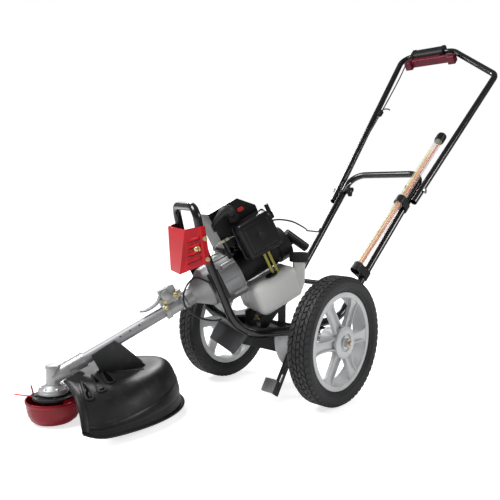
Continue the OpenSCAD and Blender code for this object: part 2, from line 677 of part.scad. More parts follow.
// Bolts of the guard, the boom clamp and the shield bracket
clamp_from = 221;
clamp_len = 55;
clamp_r = 17.5;
clamp_ear_u = 31;
clamp_ear_x = 11;
clamp_bolt_u = 23;
clamp_bolt_a = [10, 44];
cheek_x = boom_d / 2 + seat_gap;
cheek_t = 3.5;
module bolt(reach) {
  translate([0, 0, -bolt_head_t]) cylinder(h = bolt_head_t, r = bolt_head_r, $fn = 6);
  translate([0, 0, -bolt_head_t]) cylinder(h = bolt_head_t + reach, r = bolt_r);
}
module front_bolts() {
  color([0.72, 0.68, 0.5]) {
    in_front() both_sides() for (z = guard_bolt_z) guard_bolt_at(z)
      bolt(wing_x - cradle_x - cradle_d / 2 - seat_gap);
    in_engine() for (a = clamp_bolt_a) translate([clamp_ear_x + seat_gap, -clamp_from - a, clamp_bolt_u])
      rotate([0, -90, 0]) bolt(2 * clamp_ear_x);
  }
}
skid_gap = 0.2;
skid_t = 3;
skid_half = 86;
skid_from = 22;
skid_to = 58;
skid_tip = [-106, 131];
function skid_at(r, a) = [skid_y - r * sin(a), cradle_z + foot_radius - r * cos(a)];
module skid_plate() {
  near = foot_radius + cradle_d / 2 + skid_gap;
  far = near + skid_t;
  color([0.16, 0.16, 0.165]) in_front() {
    translate([0, skid_y, cradle_z + foot_radius]) rotate([0, 90, 0]) rotate([0, 0, -skid_to])
      translate([0, 0, -skid_half]) rotate_extrude(angle = skid_to - skid_from) translate([near, 0])
        square([skid_t, 2 * skid_half]);
    across(-skid_half, skid_half) polygon([skid_at(near + weld_lap, skid_from + weld_lap), skid_at(far, skid_from),
      skid_tip, skid_tip - [skid_t, 0], skid_at(far - weld_lap, skid_from + 2 * skid_t)]);
  }
}
cradle_knee_angle = atan2(cradle_knee_z - cradle_z, cradle_knee - cradle_foot);
skid_y = -cradle_foot + foot_radius * tan(cradle_knee_angle / 2);

// Engine mount: a cross plate behind the clutch bell and a cradle under the fuel tank
mount_a = 136;
mount_t = 5;
mount_low = -30;
mount_high = 44;
mount_hole = 33;
tab_len = 28;
tab_t = 5;
tank_top = -42;
tank_a0 = -40;
tank_a1 = 80;
tank_round = 18;
tank_lean = 8;
rest_half = 52;
rest_front = 26;
rest_back = 38;
rest_t = 4;
module engine_mount() {
  inside = cradle_x - cradle_d / 2 - seat_gap;
  color([0.08, 0.08, 0.08]) {
    in_engine() difference() {
      union() {
        translate([-inside, -mount_a - mount_t, mount_low]) cube([2 * inside, mount_t, mount_high - mount_low]);
        both_sides() translate([inside - tab_t, -mount_a - tab_len, mount_low])
          cube([tab_t, tab_len, mount_high - mount_low]);
      }
      axial(mount_a - cut) cylinder(h = mount_t + 2 * cut, r = mount_hole);
    }
    in_front() {
      rest_u = tank_top - tank_h - seat_gap;
      lift = boom_z + rest_u / cos(boom_tilt);
      base = swivel_z + swivel_t + seat_gap;
      both_sides() difference() {
        across(rest_half - rest_t, rest_half) polygon([[-rest_front, base], [rest_back, base],
          [rest_back, lift + rest_back * tan(boom_tilt)], [-rest_front, lift - rest_front * tan(boom_tilt)]]);
        across(rest_half - rest_t - cut, rest_half + cut) polygon([[-rest_front / 2, base + 2 * rest_t],
          [rest_back / 2, base + 2 * rest_t], [rest_back / 2, lift]]);
      }
    }
  }
}

// Engine
case_a0 = -30;
case_a1 = 83.5;
case_r = 38;
case_wall = 6;
bearing_r = 20;
crank_r = 8;
bore_a = 22;
deck_u = 41;
deck_half = 27;
barrel_r = 26;
bore_r = 20;
fin_r = 37;
fin_t = 3;
fin_step = 8;
fin_count = 11;
head_t = 6;
module at_bore(u) { translate([0, -bore_a, u]) children(); }
module crankcase() {
  color([0.5, 0.5, 0.51]) in_engine() difference() {
    union() {
      axial(case_a0) cylinder(h = case_a1 - case_a0, r = case_r);
      translate([-deck_half, -bore_a - deck_half, 0]) cube([2 * deck_half, 2 * deck_half, deck_u]);
    }
    axial(case_a0 + case_wall) cylinder(h = case_a1 - case_a0 - 2 * case_wall, r = case_r - case_wall);
    axial(case_a0 - cut) cylinder(h = case_a1 - case_a0 + 2 * cut, r = bearing_r + fit_gap);
    at_bore(0) cylinder(h = deck_u + cut, r = bore_r);
  }
}
module cylinder_block() {
  height = fin_step * fin_count + head_t;
  color([0.35, 0.35, 0.36]) in_engine() difference() {
    at_bore(deck_u + seat_gap) union() {
      cylinder(h = height, r = barrel_r);
      for (i = [0 : fin_count - 1]) translate([0, 0, i * fin_step]) cylinder(h = fin_t, r = fin_r);
    }
    at_bore(deck_u - cut) cylinder(h = height - head_t + cut, r = bore_r);
    translate([0, -plug_a, plug_u]) rotate([0, 90, 0]) cylinder(h = fin_r + cut, r = plug_r + fit_gap);
  }
}
piston_r = bore_r - fit_gap;
piston_h = 26;
piston_u = 70;
rod_w = 8;
big_end_r = 14;
module piston() {
  color([0.7, 0.7, 0.7]) in_engine() {
    at_bore(piston_u) difference() {
      cylinder(h = piston_h, r = piston_r);
      translate([0, 0, -cut]) cylinder(h = piston_h / 2 + cut, r = piston_r - rod_w / 2);
    }
    difference() {
      union() {
        axial(bore_a - rod_w / 2) cylinder(h = rod_w, r = big_end_r);
        at_bore(0) translate([-rod_w / 2, -rod_w / 2, crank_r + rod_w / 2])
          cube([rod_w, rod_w, piston_u + piston_h / 2 - crank_r - rod_w / 2 - seat_gap]);
      }
      axial(bore_a - rod_w) cylinder(h = 2 * rod_w, r = crank_r + fit_gap);
    }
  }
}
cover_a0 = -20;
cover_a1 = 92;
cover_far = -52;
cover_near = 44;
cover_low = 64;
cover_high = 158;
cover_slope = 34;
cover_wall = 2.5;
plug_a = 46;
plug_u = 126;
plug_r = 6;
boot_r = 12;
boot_len = 18;
module cover_outline(w) {
  polygon([[-cover_a1 + w, cover_low - (w > 0 ? cut : 0)], [-cover_a0 - w, cover_low - (w > 0 ? cut : 0)],
    [-cover_a0 - w, cover_high - cover_slope - w / 2], [-cover_a0 - cover_slope - w / 2, cover_high - w],
    [-cover_a1 + w, cover_high - cover_wall - w]]);
}
module top_cover() {
  color([0.06, 0.06, 0.06]) in_engine() difference() {
    across(cover_far, cover_near) cover_outline(0);
    across(cover_far + cover_wall, cover_near - cover_wall) cover_outline(cover_wall);
    translate([0, -plug_a, plug_u]) rotate([0, 90, 0]) cylinder(h = cover_near + cut, r = plug_r + run_gap);
    stop_place() translate([0, 0, -cover_wall - cut]) stadium(stop_len, stop_w, cover_wall + 2 * cut, fit_gap);
  }
}
stop_a = 18;
stop_u = 132;
stop_len = 16;
stop_w = 9;
stop_t = 8;
stop_proud = 4;
module stop_place() { translate([cover_near, -stop_a, stop_u]) rotate([0, 90, 0]) rotate([0, 0, 90]) children(); }
module stadium(length, width, h, grow) {
  r = width / 2 + grow;
  for (k = [-1, 1]) translate([k * (length - width) / 2, 0, 0]) cylinder(h = h, r = r);
  translate([-(length - width) / 2, -r, 0]) cube([length - width, 2 * r, h]);
}
module stop_button() {
  color([0.85, 0.08, 0.08]) in_engine() stop_place() translate([0, 0, stop_proud - stop_t])
    stadium(stop_len, stop_w, stop_t, 0);
}
plug_depth = 8;
module spark_plug() {
  color([0.12, 0.12, 0.12]) in_engine() translate([0, -plug_a, plug_u]) rotate([0, 90, 0]) {
    translate([0, 0, bore_r + plug_depth / 2]) cylinder(h = cover_near + seat_gap - bore_r, r = plug_r);
    translate([0, 0, cover_near + seat_gap]) cylinder(h = boot_len, r = boot_r);
  }
}
filter_a0 = -30;
filter_a1 = 63;
filter_u = 20;
filter_near = 95;
filter_round = 9;
filter_wall = 2.5;
base_t = 2.5;
carb_a0 = 0;
carb_a1 = 44;
carb_u0 = 42.5;
carb_u1 = 63;
choke_tab = 16;
choke_u = 86;
choke_r = 2.5;
base_x = filter_near - filter_t;
// Cable guide: a rod from the body to an upright ferrule on the swivel axis
guide_x = 47;
guide_r = 3;
guide_z = 409;
ferrule_r = 3.6;
ferrule_half = 3.9;
guide_rise = guide_z - boom_z;
guide_end = [0, guide_rise * sin(boom_tilt), guide_rise * cos(boom_tilt)];
module carburettor() {
  color([0.55, 0.55, 0.56]) in_engine() difference() {
    union() {
      translate([fin_r + 2 * run_gap, -carb_a1, carb_u0])
        cube([base_x - fin_r - 2 * run_gap + weld_lap, carb_a1 - carb_a0, carb_u1 - carb_u0]);
      across(base_x, base_x + base_t) side_box(filter_a0, filter_a1, filter_u, filter_u + filter_h, filter_round);
      across(base_x, base_x + base_t)
        side_box(filter_a0 - choke_tab, filter_a0 + choke_tab, choke_u - choke_tab / 2, choke_u + choke_tab / 2,
          choke_r);
      translate([base_x, choke_tab - filter_a0 - choke_tab / 2, choke_u]) rotate([0, 90, 0])
        cylinder(h = base_t + choke_reach, r = choke_r);
      rod([guide_x, -carb_a0 - guide_r, (carb_u0 + carb_u1) / 2], guide_end, guide_r);
      translate(guide_end) rotate([-boom_tilt, 0, 0]) translate([0, 0, -ferrule_half])
        cylinder(h = 2 * ferrule_half, r = ferrule_r);
    }
    for (a = hose_a) translate([hose_x, -a, carb_u0 - cut]) cylinder(h = 2 * cut, r = hose_r + fit_gap);
  }
}
choke_reach = 5;
choke_len = 30;
choke_w = 9;
module choke_lever() {
  color([0.05, 0.05, 0.05]) in_engine()
    translate([base_x + base_t + run_gap, choke_tab / 2 - filter_a0, choke_u]) rotate([0, 90, 0]) difference() {
      union() {
        cylinder(h = choke_reach - run_gap, r = choke_w / 2);
        translate([-choke_len, -choke_w / 2, 0]) cube([choke_len, choke_w, choke_reach - run_gap]);
      }
      translate([0, 0, -cut]) cylinder(h = choke_reach + 2 * cut, r = choke_r + fit_gap);
    }
}
foam_gap = 6;
module filter_cover() {
  inside = base_x + base_t + seat_gap;
  color([0.07, 0.07, 0.075]) in_engine() difference() {
    across(inside, filter_near)
      side_box(filter_a0, filter_a1, filter_u, filter_u + filter_h, filter_round);
    across(inside - cut, filter_near - filter_wall) side_box(filter_a0 + filter_wall, filter_a1 - filter_wall,
      filter_u + filter_wall, filter_u + filter_h - filter_wall, filter_round - filter_wall);
  }
  color([0.8, 0.75, 0.3]) in_engine() across(inside, filter_near - filter_wall - foam_gap)
    side_box(filter_a0 + foam_gap, filter_a1 - foam_gap, filter_u + foam_gap, filter_u + filter_h - foam_gap,
      filter_round - filter_wall);
}
tank_wall = 3;
neck_f = 70;
neck_x = 55;
neck_r = 15;
neck_z0 = 262;
neck_z1 = 346;
fuel_cap_r = 22;
fuel_cap_h = 21;
module tank_outline(inset) {
  low = tank_top - tank_h;
  offset(r = tank_round - inset) offset(delta = -tank_round) polygon([[-tank_a1, tank_top], [-tank_a0, tank_top],
    [-tank_a0 - tank_lean, low], [-tank_a1 - tank_lean, low]]);
}
module fuel_tank() {
  color([0.92, 0.92, 0.9, 0.9]) difference() {
    union() {
      in_engine() across(-tank_x, tank_x) tank_outline(0);
      in_front() translate([neck_x, neck_f, neck_z0]) cylinder(h = neck_z1 - neck_z0, r = neck_r);
    }
    in_engine() across(tank_wall - tank_x, tank_x - tank_wall) tank_outline(tank_wall);
    in_front() translate([neck_x, neck_f, neck_z0 + tank_wall])
      cylinder(h = neck_z1 - neck_z0 - tank_wall + cut, r = neck_r - tank_wall);
    in_engine() for (a = hose_a) translate([hose_x, -a, tank_top - tank_wall - cut])
      cylinder(h = tank_wall + 2 * cut, r = hose_r + fit_gap);
  }
}
cap_skirt = 15;
module fuel_cap() {
  color([0.06, 0.06, 0.06]) in_front() translate([neck_x, neck_f, neck_z1 + run_gap - cap_skirt]) difference() {
    cylinder(h = fuel_cap_h, r = fuel_cap_r);
    translate([0, 0, -cut]) cylinder(h = cap_skirt + cut, r = neck_r + fit_gap);
  }
}
hose_x = 49;
hose_a = [14, 2];
hose_r = 3.2;
hose_bore = 1.6;
module fuel_lines() {
  color([0.72, 0.7, 0.3]) in_engine() for (a = hose_a) translate([hose_x, -a, tank_top - tank_wall])
    ring(hose_r, hose_bore, carb_u0 - tank_top + tank_wall + cut / 2);
}
muffler_a0 = -14;
muffler_a1 = 58;
muffler_u0 = 6;
muffler_u1 = 62;
muffler_far = -98;
muffler_near = -45;
port_u = 53;
port_r = 8;
module muffler() {
  color([0.12, 0.12, 0.12]) in_engine() {
    across(muffler_far, muffler_near) side_box(muffler_a0, muffler_a1, muffler_u0, muffler_u1, filter_round);
    translate([muffler_near - weld_lap, -bore_a, port_u]) rotate([0, 90, 0])
      cylinder(h = -muffler_near - fin_r + weld_lap - run_gap, r = port_r);
  }
}
fan_a0 = 84;
fan_a1 = 135.9;
fan_wall = 3;
duct_far = -50;
duct_near = 42;
duct_len = 8;
shaft_hole = 12;
module fan_housing() {
  color([0.62, 0.62, 0.63]) in_engine() difference() {
    union() {
      axial(fan_a0) cylinder(h = fan_a1 - fan_a0, r = fan_r);
      translate([duct_far, -fan_a0 - duct_len, 0]) cube([duct_near - duct_far, duct_len, cover_low - run_gap]);
    }
    axial(fan_a0 + fan_wall) cylinder(h = fan_a1 - fan_a0 - 2 * fan_wall, r = fan_r - fan_wall);
    axial(fan_a0 - cut) cylinder(h = fan_wall + 2 * cut, r = bearing_r + shaft_hole);
    axial(fan_a1 - fan_wall - cut) cylinder(h = fan_wall + 2 * cut, r = shaft_hole);
  }
}
starter_a0 = -62;
starter_a1 = -30.1;
starter_r = 41;
starter_wall = 3;
post_r = 6;
post_len = 22;
rope_hole = 5;
grip_u = -14;
module starter_cover() {
  color([0.05, 0.05, 0.05]) in_engine() difference() {
    union() {
      difference() {
        axial(starter_a0) cylinder(h = starter_a1 - starter_a0, r = starter_r);
        axial(starter_a0 + starter_wall) cylinder(h = starter_a1 - starter_a0, r = starter_r - starter_wall);
      }
      axial(starter_a0 + starter_wall - weld_lap) cylinder(h = post_len, r = post_r);
    }
    axial(starter_a0 - cut) translate([0, grip_u, 0]) cylinder(h = starter_wall + 2 * cut, r = rope_hole);
  }
}
pulley_r = 32;
pulley_t = 12;
pulley_gap = 4;
module starter_pulley() {
  color([0.75, 0.75, 0.7]) in_engine() axial(starter_a0 + starter_wall + pulley_gap)
    ring(pulley_r, post_r + fit_gap, pulley_t);
}
grip_stem_r = 4.5;
grip_stem = 31;
grip_bar_r = 11;
grip_bar_half = 34;
grip_lean = 29;
module starter_grip() {
  color([0.05, 0.05, 0.05]) in_engine() translate([0, -starter_a0 + seat_gap, grip_u]) {
    rotate([-90, 0, 0]) cylinder(h = grip_stem, r = grip_stem_r);
    translate([0, grip_stem, 0]) rotate([grip_lean, 0, 0]) translate([0, 0, -grip_bar_half])
      cylinder(h = 2 * grip_bar_half, r = grip_bar_r);
  }
}
bell_a0 = mount_a + mount_t;
bell_len = 78;
bell_r = 48;
bell_neck_r = 20;
bell_wall = 6;
bell_step = 22;
bell_cone = 60;
neck_grip = 23;
boom_a0 = bell_a0 + bell_len - neck_grip;
module clutch_bell() {
  color([0.62, 0.63, 0.64]) in_engine() axial(bell_a0 + seat_gap) difference() {
    union() {
      cylinder(h = bell_step, r = bell_r);
      translate([0, 0, bell_step]) cylinder(h = bell_cone - bell_step, r1 = bell_r, r2 = bell_neck_r);
      cylinder(h = bell_len, r = bell_neck_r);
    }
    translate([0, 0, -cut]) cylinder(h = bell_step + cut, r = bell_r - bell_wall);
    translate([0, 0, bell_step - weld_lap / 2])
      cylinder(h = bell_cone - bell_step - bell_wall, r1 = bell_r - bell_wall, r2 = boom_d / 2 - boom_wall);
    translate([0, 0, bell_cone - 2 * bell_wall]) cylinder(h = bell_len, r = boom_d / 2 - boom_wall);
    translate([0, 0, bell_len - neck_grip - seat_gap]) cylinder(h = neck_grip + cut, r = boom_d / 2 + fit_gap);
  }
}
head_a = head_f / cos(boom_tilt);
boom_end = 28;
boom_a1 = head_a - boom_end;
module boom() {
  color([0.75, 0.75, 0.76]) in_engine() axial(boom_a0 + seat_gap)
    ring(boom_d / 2, boom_d / 2 - boom_wall, boom_a1 - boom_a0 - 2 * seat_gap);
}
clamp_slit = 2;
lever_len = 40;
lever_w = 14;
lever_t = 9;
module boom_clamp() {
  color([0.66, 0.67, 0.68]) in_engine() difference() {
    union() {
      axial(clamp_from) cylinder(h = clamp_len, r = clamp_r);
      translate([-clamp_ear_x, -clamp_from - clamp_len, 0]) cube([2 * clamp_ear_x, clamp_len, clamp_ear_u]);
    }
    axial(clamp_from - cut) cylinder(h = clamp_len + 2 * cut, r = boom_d / 2 + fit_gap);
    translate([-clamp_slit / 2, -clamp_from - clamp_len - cut, boom_d / 4])
      cube([clamp_slit, clamp_len + 2 * cut, clamp_ear_u]);
    for (a = clamp_bolt_a) translate([-clamp_ear_x - cut, -clamp_from - a, clamp_bolt_u]) rotate([0, 90, 0])
      cylinder(h = 2 * (clamp_ear_x + cut), r = bolt_r + fit_gap);
  }
  color([0.7, 0.7, 0.71]) in_engine() across(-lever_w / 2, lever_w / 2)
    translate([-clamp_from - clamp_len + lever_w / 2, clamp_ear_u + seat_gap])
      rounded_square([lever_len, lever_t * 2], lever_t / 2);
}

// Rotating drive train
crank_a0 = -33;
crank_a1 = 166;
shoe_a0 = 146;
shoe_len = 19;
shoe_r = 26;
shoe_slit = 3;
web_r = 27;
web_t = 9;
module crankshaft() {
  color([0.6, 0.6, 0.6]) in_engine() {
    axial(crank_a0) cylinder(h = crank_a1 - crank_a0, r = crank_r);
    for (a = [bore_a - rod_w - web_t, bore_a + rod_w]) axial(a) ring(web_r, crank_r - weld_lap, web_t);
    for (k = [0, 1]) axial(shoe_a0) rotate([0, 0, 180 * k]) difference() {
      ring(shoe_r, crank_r + seat_gap, shoe_len);
      translate([-shoe_r - cut, -shoe_r * 2 + shoe_slit / 2, -cut])
        cube([2 * (shoe_r + cut), 2 * shoe_r, shoe_len + 2 * cut]);
    }
  }
}
fly_a0 = 93;
fly_t = 10;
fly_r = 50;
blade_count = 12;
blade_h = 16;
blade_t = 2.5;
blade_in = 26;
module flywheel() {
  color([0.5, 0.5, 0.5]) in_engine() axial(fly_a0) difference() {
    union() {
      cylinder(h = fly_t, r = fly_r);
      for (i = [0 : blade_count - 1]) rotate([0, 0, 360 * i / blade_count])
        translate([blade_in, -blade_t / 2, fly_t - weld_lap]) cube([fly_r - blade_in - blade_t, blade_t, blade_h]);
    }
    translate([0, 0, -cut]) cylinder(h = fly_t + blade_h + 2 * cut, r = crank_r + seat_gap);
  }
}
drum_gap = 1.5;
drum_wall = 3.5;
drum_back = 4;
pinion_r = 7;
pinion_len = 9;
pinion_gap = 11;
shaft_a1 = head_a - pinion_gap;
module drive_shaft() {
  drum_r = shoe_r + drum_gap;
  color([0.55, 0.55, 0.56]) in_engine() {
    axial(shoe_a0) difference() {
      cylinder(h = shoe_len + 2 * drum_back, r = drum_r + drum_wall);
      translate([0, 0, -cut]) cylinder(h = shoe_len + drum_back + cut, r = drum_r);
    }
    axial(shoe_a0 + shoe_len + drum_back) cylinder(h = shaft_a1 - shoe_a0 - shoe_len - drum_back, r = shaft_d / 2);
    axial(shaft_a1 - pinion_len) cylinder(h = pinion_len, r = pinion_r);
  }
}
bush_len = 18;
bush_at = [250, 380, 495];
crank_bearing_t = 5.8;
low_bearing_z = 63.2;
low_bearing_t = 9;
low_bearing_r = 12;
top_bearing_z = 109.3;
top_bearing_t = 7;
top_bearing_r = 10;
spindle_low_r = 6;
spindle_top_r = 5;
module bearings() {
  color([0.7, 0.65, 0.45]) {
    in_engine() {
      for (a = bush_at) axial(a) ring(boom_d / 2 - boom_wall - fit_gap, shaft_d / 2 + fit_gap, bush_len);
      for (a = [case_a0, case_a1 - case_wall]) axial(a + seat_gap)
        ring(bearing_r, crank_r + fit_gap, crank_bearing_t);
    }
    in_head() {
      translate([0, 0, low_bearing_z]) ring(low_bearing_r, spindle_low_r + fit_gap, low_bearing_t);
      translate([0, 0, top_bearing_z]) ring(top_bearing_r, spindle_top_r + fit_gap, top_bearing_t);
    }
  }
}
tower_r = 14.8;
tower_top = 124;
shoulder_z = 81;
body_z = 63;
waist_z = 73;
socket_len = 76;
socket_a0 = head_a - socket_len;
socket_r = 16.5;
chamber_r = 12;
chamber_z0 = 75;
chamber_z1 = 107;
module gearbox_housing() {
  color([0.66, 0.67, 0.68]) difference() {
    union() {
      in_head() {
        translate([0, 0, body_z]) cylinder(h = waist_z - body_z, r = gearbox_r);
        translate([0, 0, waist_z]) cylinder(h = shoulder_z - waist_z, r1 = gearbox_r, r2 = tower_r + cut);
        translate([0, 0, shoulder_z]) cylinder(h = tower_top - shoulder_z, r = tower_r);
      }
      in_engine() axial(socket_a0) cylinder(h = head_a - socket_a0, r = socket_r);
    }
    in_head() {
      translate([0, 0, body_z - cut])
        cylinder(h = low_bearing_t + cut + seat_gap * 3, r = low_bearing_r + fit_gap);
      translate([0, 0, chamber_z0]) cylinder(h = chamber_z1 - chamber_z0, r = chamber_r);
      translate([0, 0, body_z]) cylinder(h = top_bearing_z - body_z, r = spindle_low_r + cut);
      translate([0, 0, chamber_z1 - cut]) cylinder(h = top_bearing_z + top_bearing_t + seat_gap - chamber_z1 + cut,
        r = top_bearing_r + fit_gap);
    }
    in_engine() {
      axial(socket_a0 - cut) cylinder(h = boom_a1 - socket_a0 + cut, r = boom_d / 2 + fit_gap);
      axial(boom_a1 - cut) cylinder(h = boom_end, r = pinion_r + cut);
    }
  }
}
gear_z = 82;
gear_t = 9;
gear_r = 10.5;
spindle_z0 = 12;
module output_spindle() {
  color([0.6, 0.6, 0.6]) in_head() {
    translate([0, 0, spindle_z0]) cylinder(h = gear_z - spindle_z0 + gear_t / 2, r = spindle_low_r);
    translate([0, 0, gear_z]) cylinder(h = gear_t, r = gear_r);
    translate([0, 0, gear_z]) cylinder(h = top_bearing_z + top_bearing_t - gear_z, r = spindle_top_r);
  }
}
bowl_t = 4;
bowl_foot_r = 24;
holder_r = 20;
holder_z1 = 61;
plate_r = 44;
plate_z0 = 53.5;
line_plate_t = 5;
line_posts = 4;
line_post_r = 4;
line_post_ring = 36;
module line_holder() {
  color([0.08, 0.08, 0.08]) in_head() difference() {
    union() {
      translate([0, 0, bowl_t + seat_gap]) cylinder(h = plate_z0 - bowl_t, r = holder_r);
      translate([0, 0, plate_z0]) cylinder(h = line_plate_t, r = plate_r);
      for (i = [0 : line_posts - 1]) rotate([0, 0, 360 * i / line_posts]) translate([line_post_ring, 0, plate_z0])
        cylinder(h = holder_z1 - plate_z0, r = line_post_r);
    }
    translate([0, 0, spindle_z0 - run_gap]) cylinder(h = holder_z1, r = spindle_low_r + fit_gap);
  }
}
bowl_shares = [[0.75, 0.2], [0.92, 0.52], [1, 0.88], [1, 1]];
module glide_bowl() {
  outer = concat([[0, 0], [bowl_foot_r, 0]], [for (p = bowl_shares) [p.x * bowl_r, p.y * bowl_h]]);
  inner = concat([[0, bowl_t], [bowl_foot_r, bowl_t]],
    [for (p = bowl_shares) [p.x * bowl_r - bowl_t, p.y * (bowl_h - bowl_t) + bowl_t]]);
  color([0.6, 0.05, 0.08]) in_head() rotate_extrude($fn = 96) polygon(concat(outer, reversed(inner)));
}
line_route = [[44.2, -2, 56], [52, -4, 57], [63, -9, 57], [74, -18, 56], [83, -32, 53], [88, -46, 49]];
line_sides = 8;
module cutting_lines() {
  color([0.85, 0.1, 0.06]) in_head() for (k = [0, 1]) rotate([0, 0, 180 * k + line_turn])
    cord(smooth(line_route, 3), line_d / 2, line_sides, [0, 0, 1]);
}
line_turn = 260;

// Debris shield: a hood behind the spindle, flat on top and steep at the rim
hood_t = 3.5;
rim_z = 16;
hood_rise = 82;
hump_rise = 80;
hood_angle = 84;
hood_cols = 24;
hood_rows = 12;
edge_power = 6;
back_power = 12;
hood_front = 12;
cut_share = 0.2;
corner_angle = 72;
corner_rise = 16;
function corner_lift(q) = corner_rise * pow(max(0, (abs(q) - corner_angle) / (hood_angle - corner_angle)), 2);
function hood_z(q, t, inset) = let(back = cos(q) * cos(q), lift = corner_lift(q))
  rim_z + lift + (hood_rise - lift + hump_rise * back * pow(t, edge_power) - inset)
  * (1 - pow(t, edge_power + (back_power - edge_power) * back));
function hood_point(i, j, inset) = let(q = hood_angle * (2 * j / hood_cols - 1),
  t = cut_share + (1 - cut_share) * i / hood_rows)
  [(shield_x - inset) * sin(q) * t, hood_front + (shield_back - hood_front - inset) * cos(q) * t,
    hood_z(q, t, inset)];
module debris_shield() {
  color([0.06, 0.06, 0.065]) in_head() thick_sheet(
    [for (i = [0 : hood_rows]) [for (j = [0 : hood_cols]) hood_point(i, j, 0)]],
    [for (i = [0 : hood_rows]) [for (j = [0 : hood_cols]) hood_point(i, j, hood_t)]]);
}
cheek_front = 392;
cheek_back = 292;
cheek_steps = 6;
cheek_top = [[346, 156], [361, 169], [412, 140]];
function under_cheek(f) = [-f, hood_z(0, (head_f - f - hood_front) / (shield_back - hood_front), 0) + run_gap];
module shield_bracket() {
  low = [for (k = [0 : cheek_steps]) under_cheek(cheek_front + (cheek_back - cheek_front) * k / cheek_steps)];
  color([0.05, 0.05, 0.05]) in_front() both_sides() across(cheek_x, cheek_x + cheek_t)
    polygon(concat(low, [for (p = cheek_top) [-p.x, p.y]]));
}
front_route = [[60, -130.5, 292], [59, -142, 286], [52, -162, 296], [42, -182, 303], [34, -199, 288],
  [38, -210, 264], [44, -208, 241], [48, -192, 222], [52, -165, 208], [54, -140, 204], [54, -124.5, 206.3]];
module front_cable() {
  color([0.05, 0.05, 0.05]) in_front() cord(smooth(front_route, 3), cable_r, cable_sides, [1, 0, 0]);
}

// Origin: the middle of the whole part's box, on the ground
spindle_x = -head_f * sin(swivel_turn);
spindle_y = -swivel_y - head_f * cos(swivel_turn);
hood_corner = hood_front + (shield_back - hood_front) * cos(hood_angle);
hood_reach = shield_x * sin(hood_angle) * cos(swivel_turn) - hood_corner * sin(swivel_turn);
box_near = wheel_x + axle_end;
box_far = min(spindle_x - hood_reach, -box_near);
collar_y = (grip_h + collar_rise) / 2 - grip_round;
collar_z = (grip_depth + collar_rise) / 2 - grip_round;
box_back = on_handle(0, upper_len, 0).y + collar_y * cos(handle_tilt) + collar_z * sin(handle_tilt) + grip_round;
box_front = spindle_y - bowl_r;
mid_x = (box_near + box_far) / 2;
mid_y = (box_back + box_front) / 2;

axle();
carriage_frame();
frame_bolts();
lower_handle();
swivel_pin();
storage_tube();
storage_clips();
spare_lines();
throttle_cable_run();
pedal_lever();
throttle_loop();
lock_pin();
left_tyre();
left_rim();
right_tyre();
right_rim();
upper_handle();
grip_housing();
throttle_cable_top();
throttle_bail();
left_knob();
right_knob();
storage_cap();
cradle_frame();
guard_panel();
front_bolts();
skid_plate();
engine_mount();
crankcase();
cylinder_block();
piston();
top_cover();
spark_plug();
carburettor();
filter_cover();
fuel_tank();
fuel_lines();
muffler();
fan_housing();
starter_cover();
clutch_bell();
boom();
boom_clamp();
bearings();
gearbox_housing();
debris_shield();
shield_bracket();
front_cable();
crankshaft();
flywheel();
drive_shaft();
output_spindle();
line_holder();
glide_bowl();
cutting_lines();
starter_grip();
starter_pulley();
fuel_cap();
choke_lever();
stop_button();
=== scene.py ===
import math

import bmesh
import bpy
import numpy as np
from mathutils import Matrix, Vector
from mathutils.bvhtree import BVHTree


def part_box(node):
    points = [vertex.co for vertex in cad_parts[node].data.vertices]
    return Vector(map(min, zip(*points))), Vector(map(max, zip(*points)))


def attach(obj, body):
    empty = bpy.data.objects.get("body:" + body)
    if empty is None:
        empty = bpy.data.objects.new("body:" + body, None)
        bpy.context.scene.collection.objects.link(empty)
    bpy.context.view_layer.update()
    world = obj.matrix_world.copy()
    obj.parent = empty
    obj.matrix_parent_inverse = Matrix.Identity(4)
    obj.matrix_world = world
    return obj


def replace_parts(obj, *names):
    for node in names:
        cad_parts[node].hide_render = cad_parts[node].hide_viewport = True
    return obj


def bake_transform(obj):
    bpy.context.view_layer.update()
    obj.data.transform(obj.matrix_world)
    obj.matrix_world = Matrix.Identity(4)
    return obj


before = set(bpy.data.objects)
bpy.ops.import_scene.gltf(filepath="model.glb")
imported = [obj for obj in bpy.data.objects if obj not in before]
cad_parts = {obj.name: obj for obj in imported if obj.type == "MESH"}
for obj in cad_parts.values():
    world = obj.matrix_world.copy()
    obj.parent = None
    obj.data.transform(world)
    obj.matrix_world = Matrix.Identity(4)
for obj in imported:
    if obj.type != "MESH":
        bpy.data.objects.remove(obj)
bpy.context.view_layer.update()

# Frames of the part, in millimetres

MM = 0.001
AXLE = (Vector(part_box("axle")[0]) + Vector(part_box("axle")[1])) / 2
SWIVEL_DEG, SWIVEL_Y = 26.0, -54.0
ENGINE_DEG, ENGINE_Z = 27.1, 347.3
HANDLE_DEG, FOLD_Y, FOLD_Z = 43.5, 480.0, 501.0
SPINDLE_F = 491.6
WHEEL_X, AXLE_Z = 177.7, 152.4
PEDAL_X, PEDAL_LEAN = 67.0, 34.0
STORE_X, STORE_SHARE, STORE_N, STORE_FROM, STORE_TO = 121.0, 0.085, 27.0, -325.0, 200.0
NECK_L, NECK_F = 55.0, -70.0


def turn(deg):
    return math.cos(math.radians(deg)), math.sin(math.radians(deg))


def plain(x, y, z):
    """The whole part's own frame."""
    return Vector((x, y, z)) * MM


def row(x, y, z):
    """Wheel frame: axle at y 0, ground at z 0."""
    return Vector((AXLE.x + x * MM, AXLE.y + y * MM, z * MM))


def front(l, f, z):
    """Swivelling front: l to the operator's left, f forward of the swivel."""
    c, s = turn(SWIVEL_DEG)
    return row(l * c - f * s, -l * s - f * c + SWIVEL_Y, z)


def swivel(x, y, z):
    """Swivel: x to the left and y back of its pin."""
    return front(x, -y, z)


def spindle(x, y, z):
    """Cutting head: x to the left and y back of its spindle."""
    return front(x, SPINDLE_F - y, z)


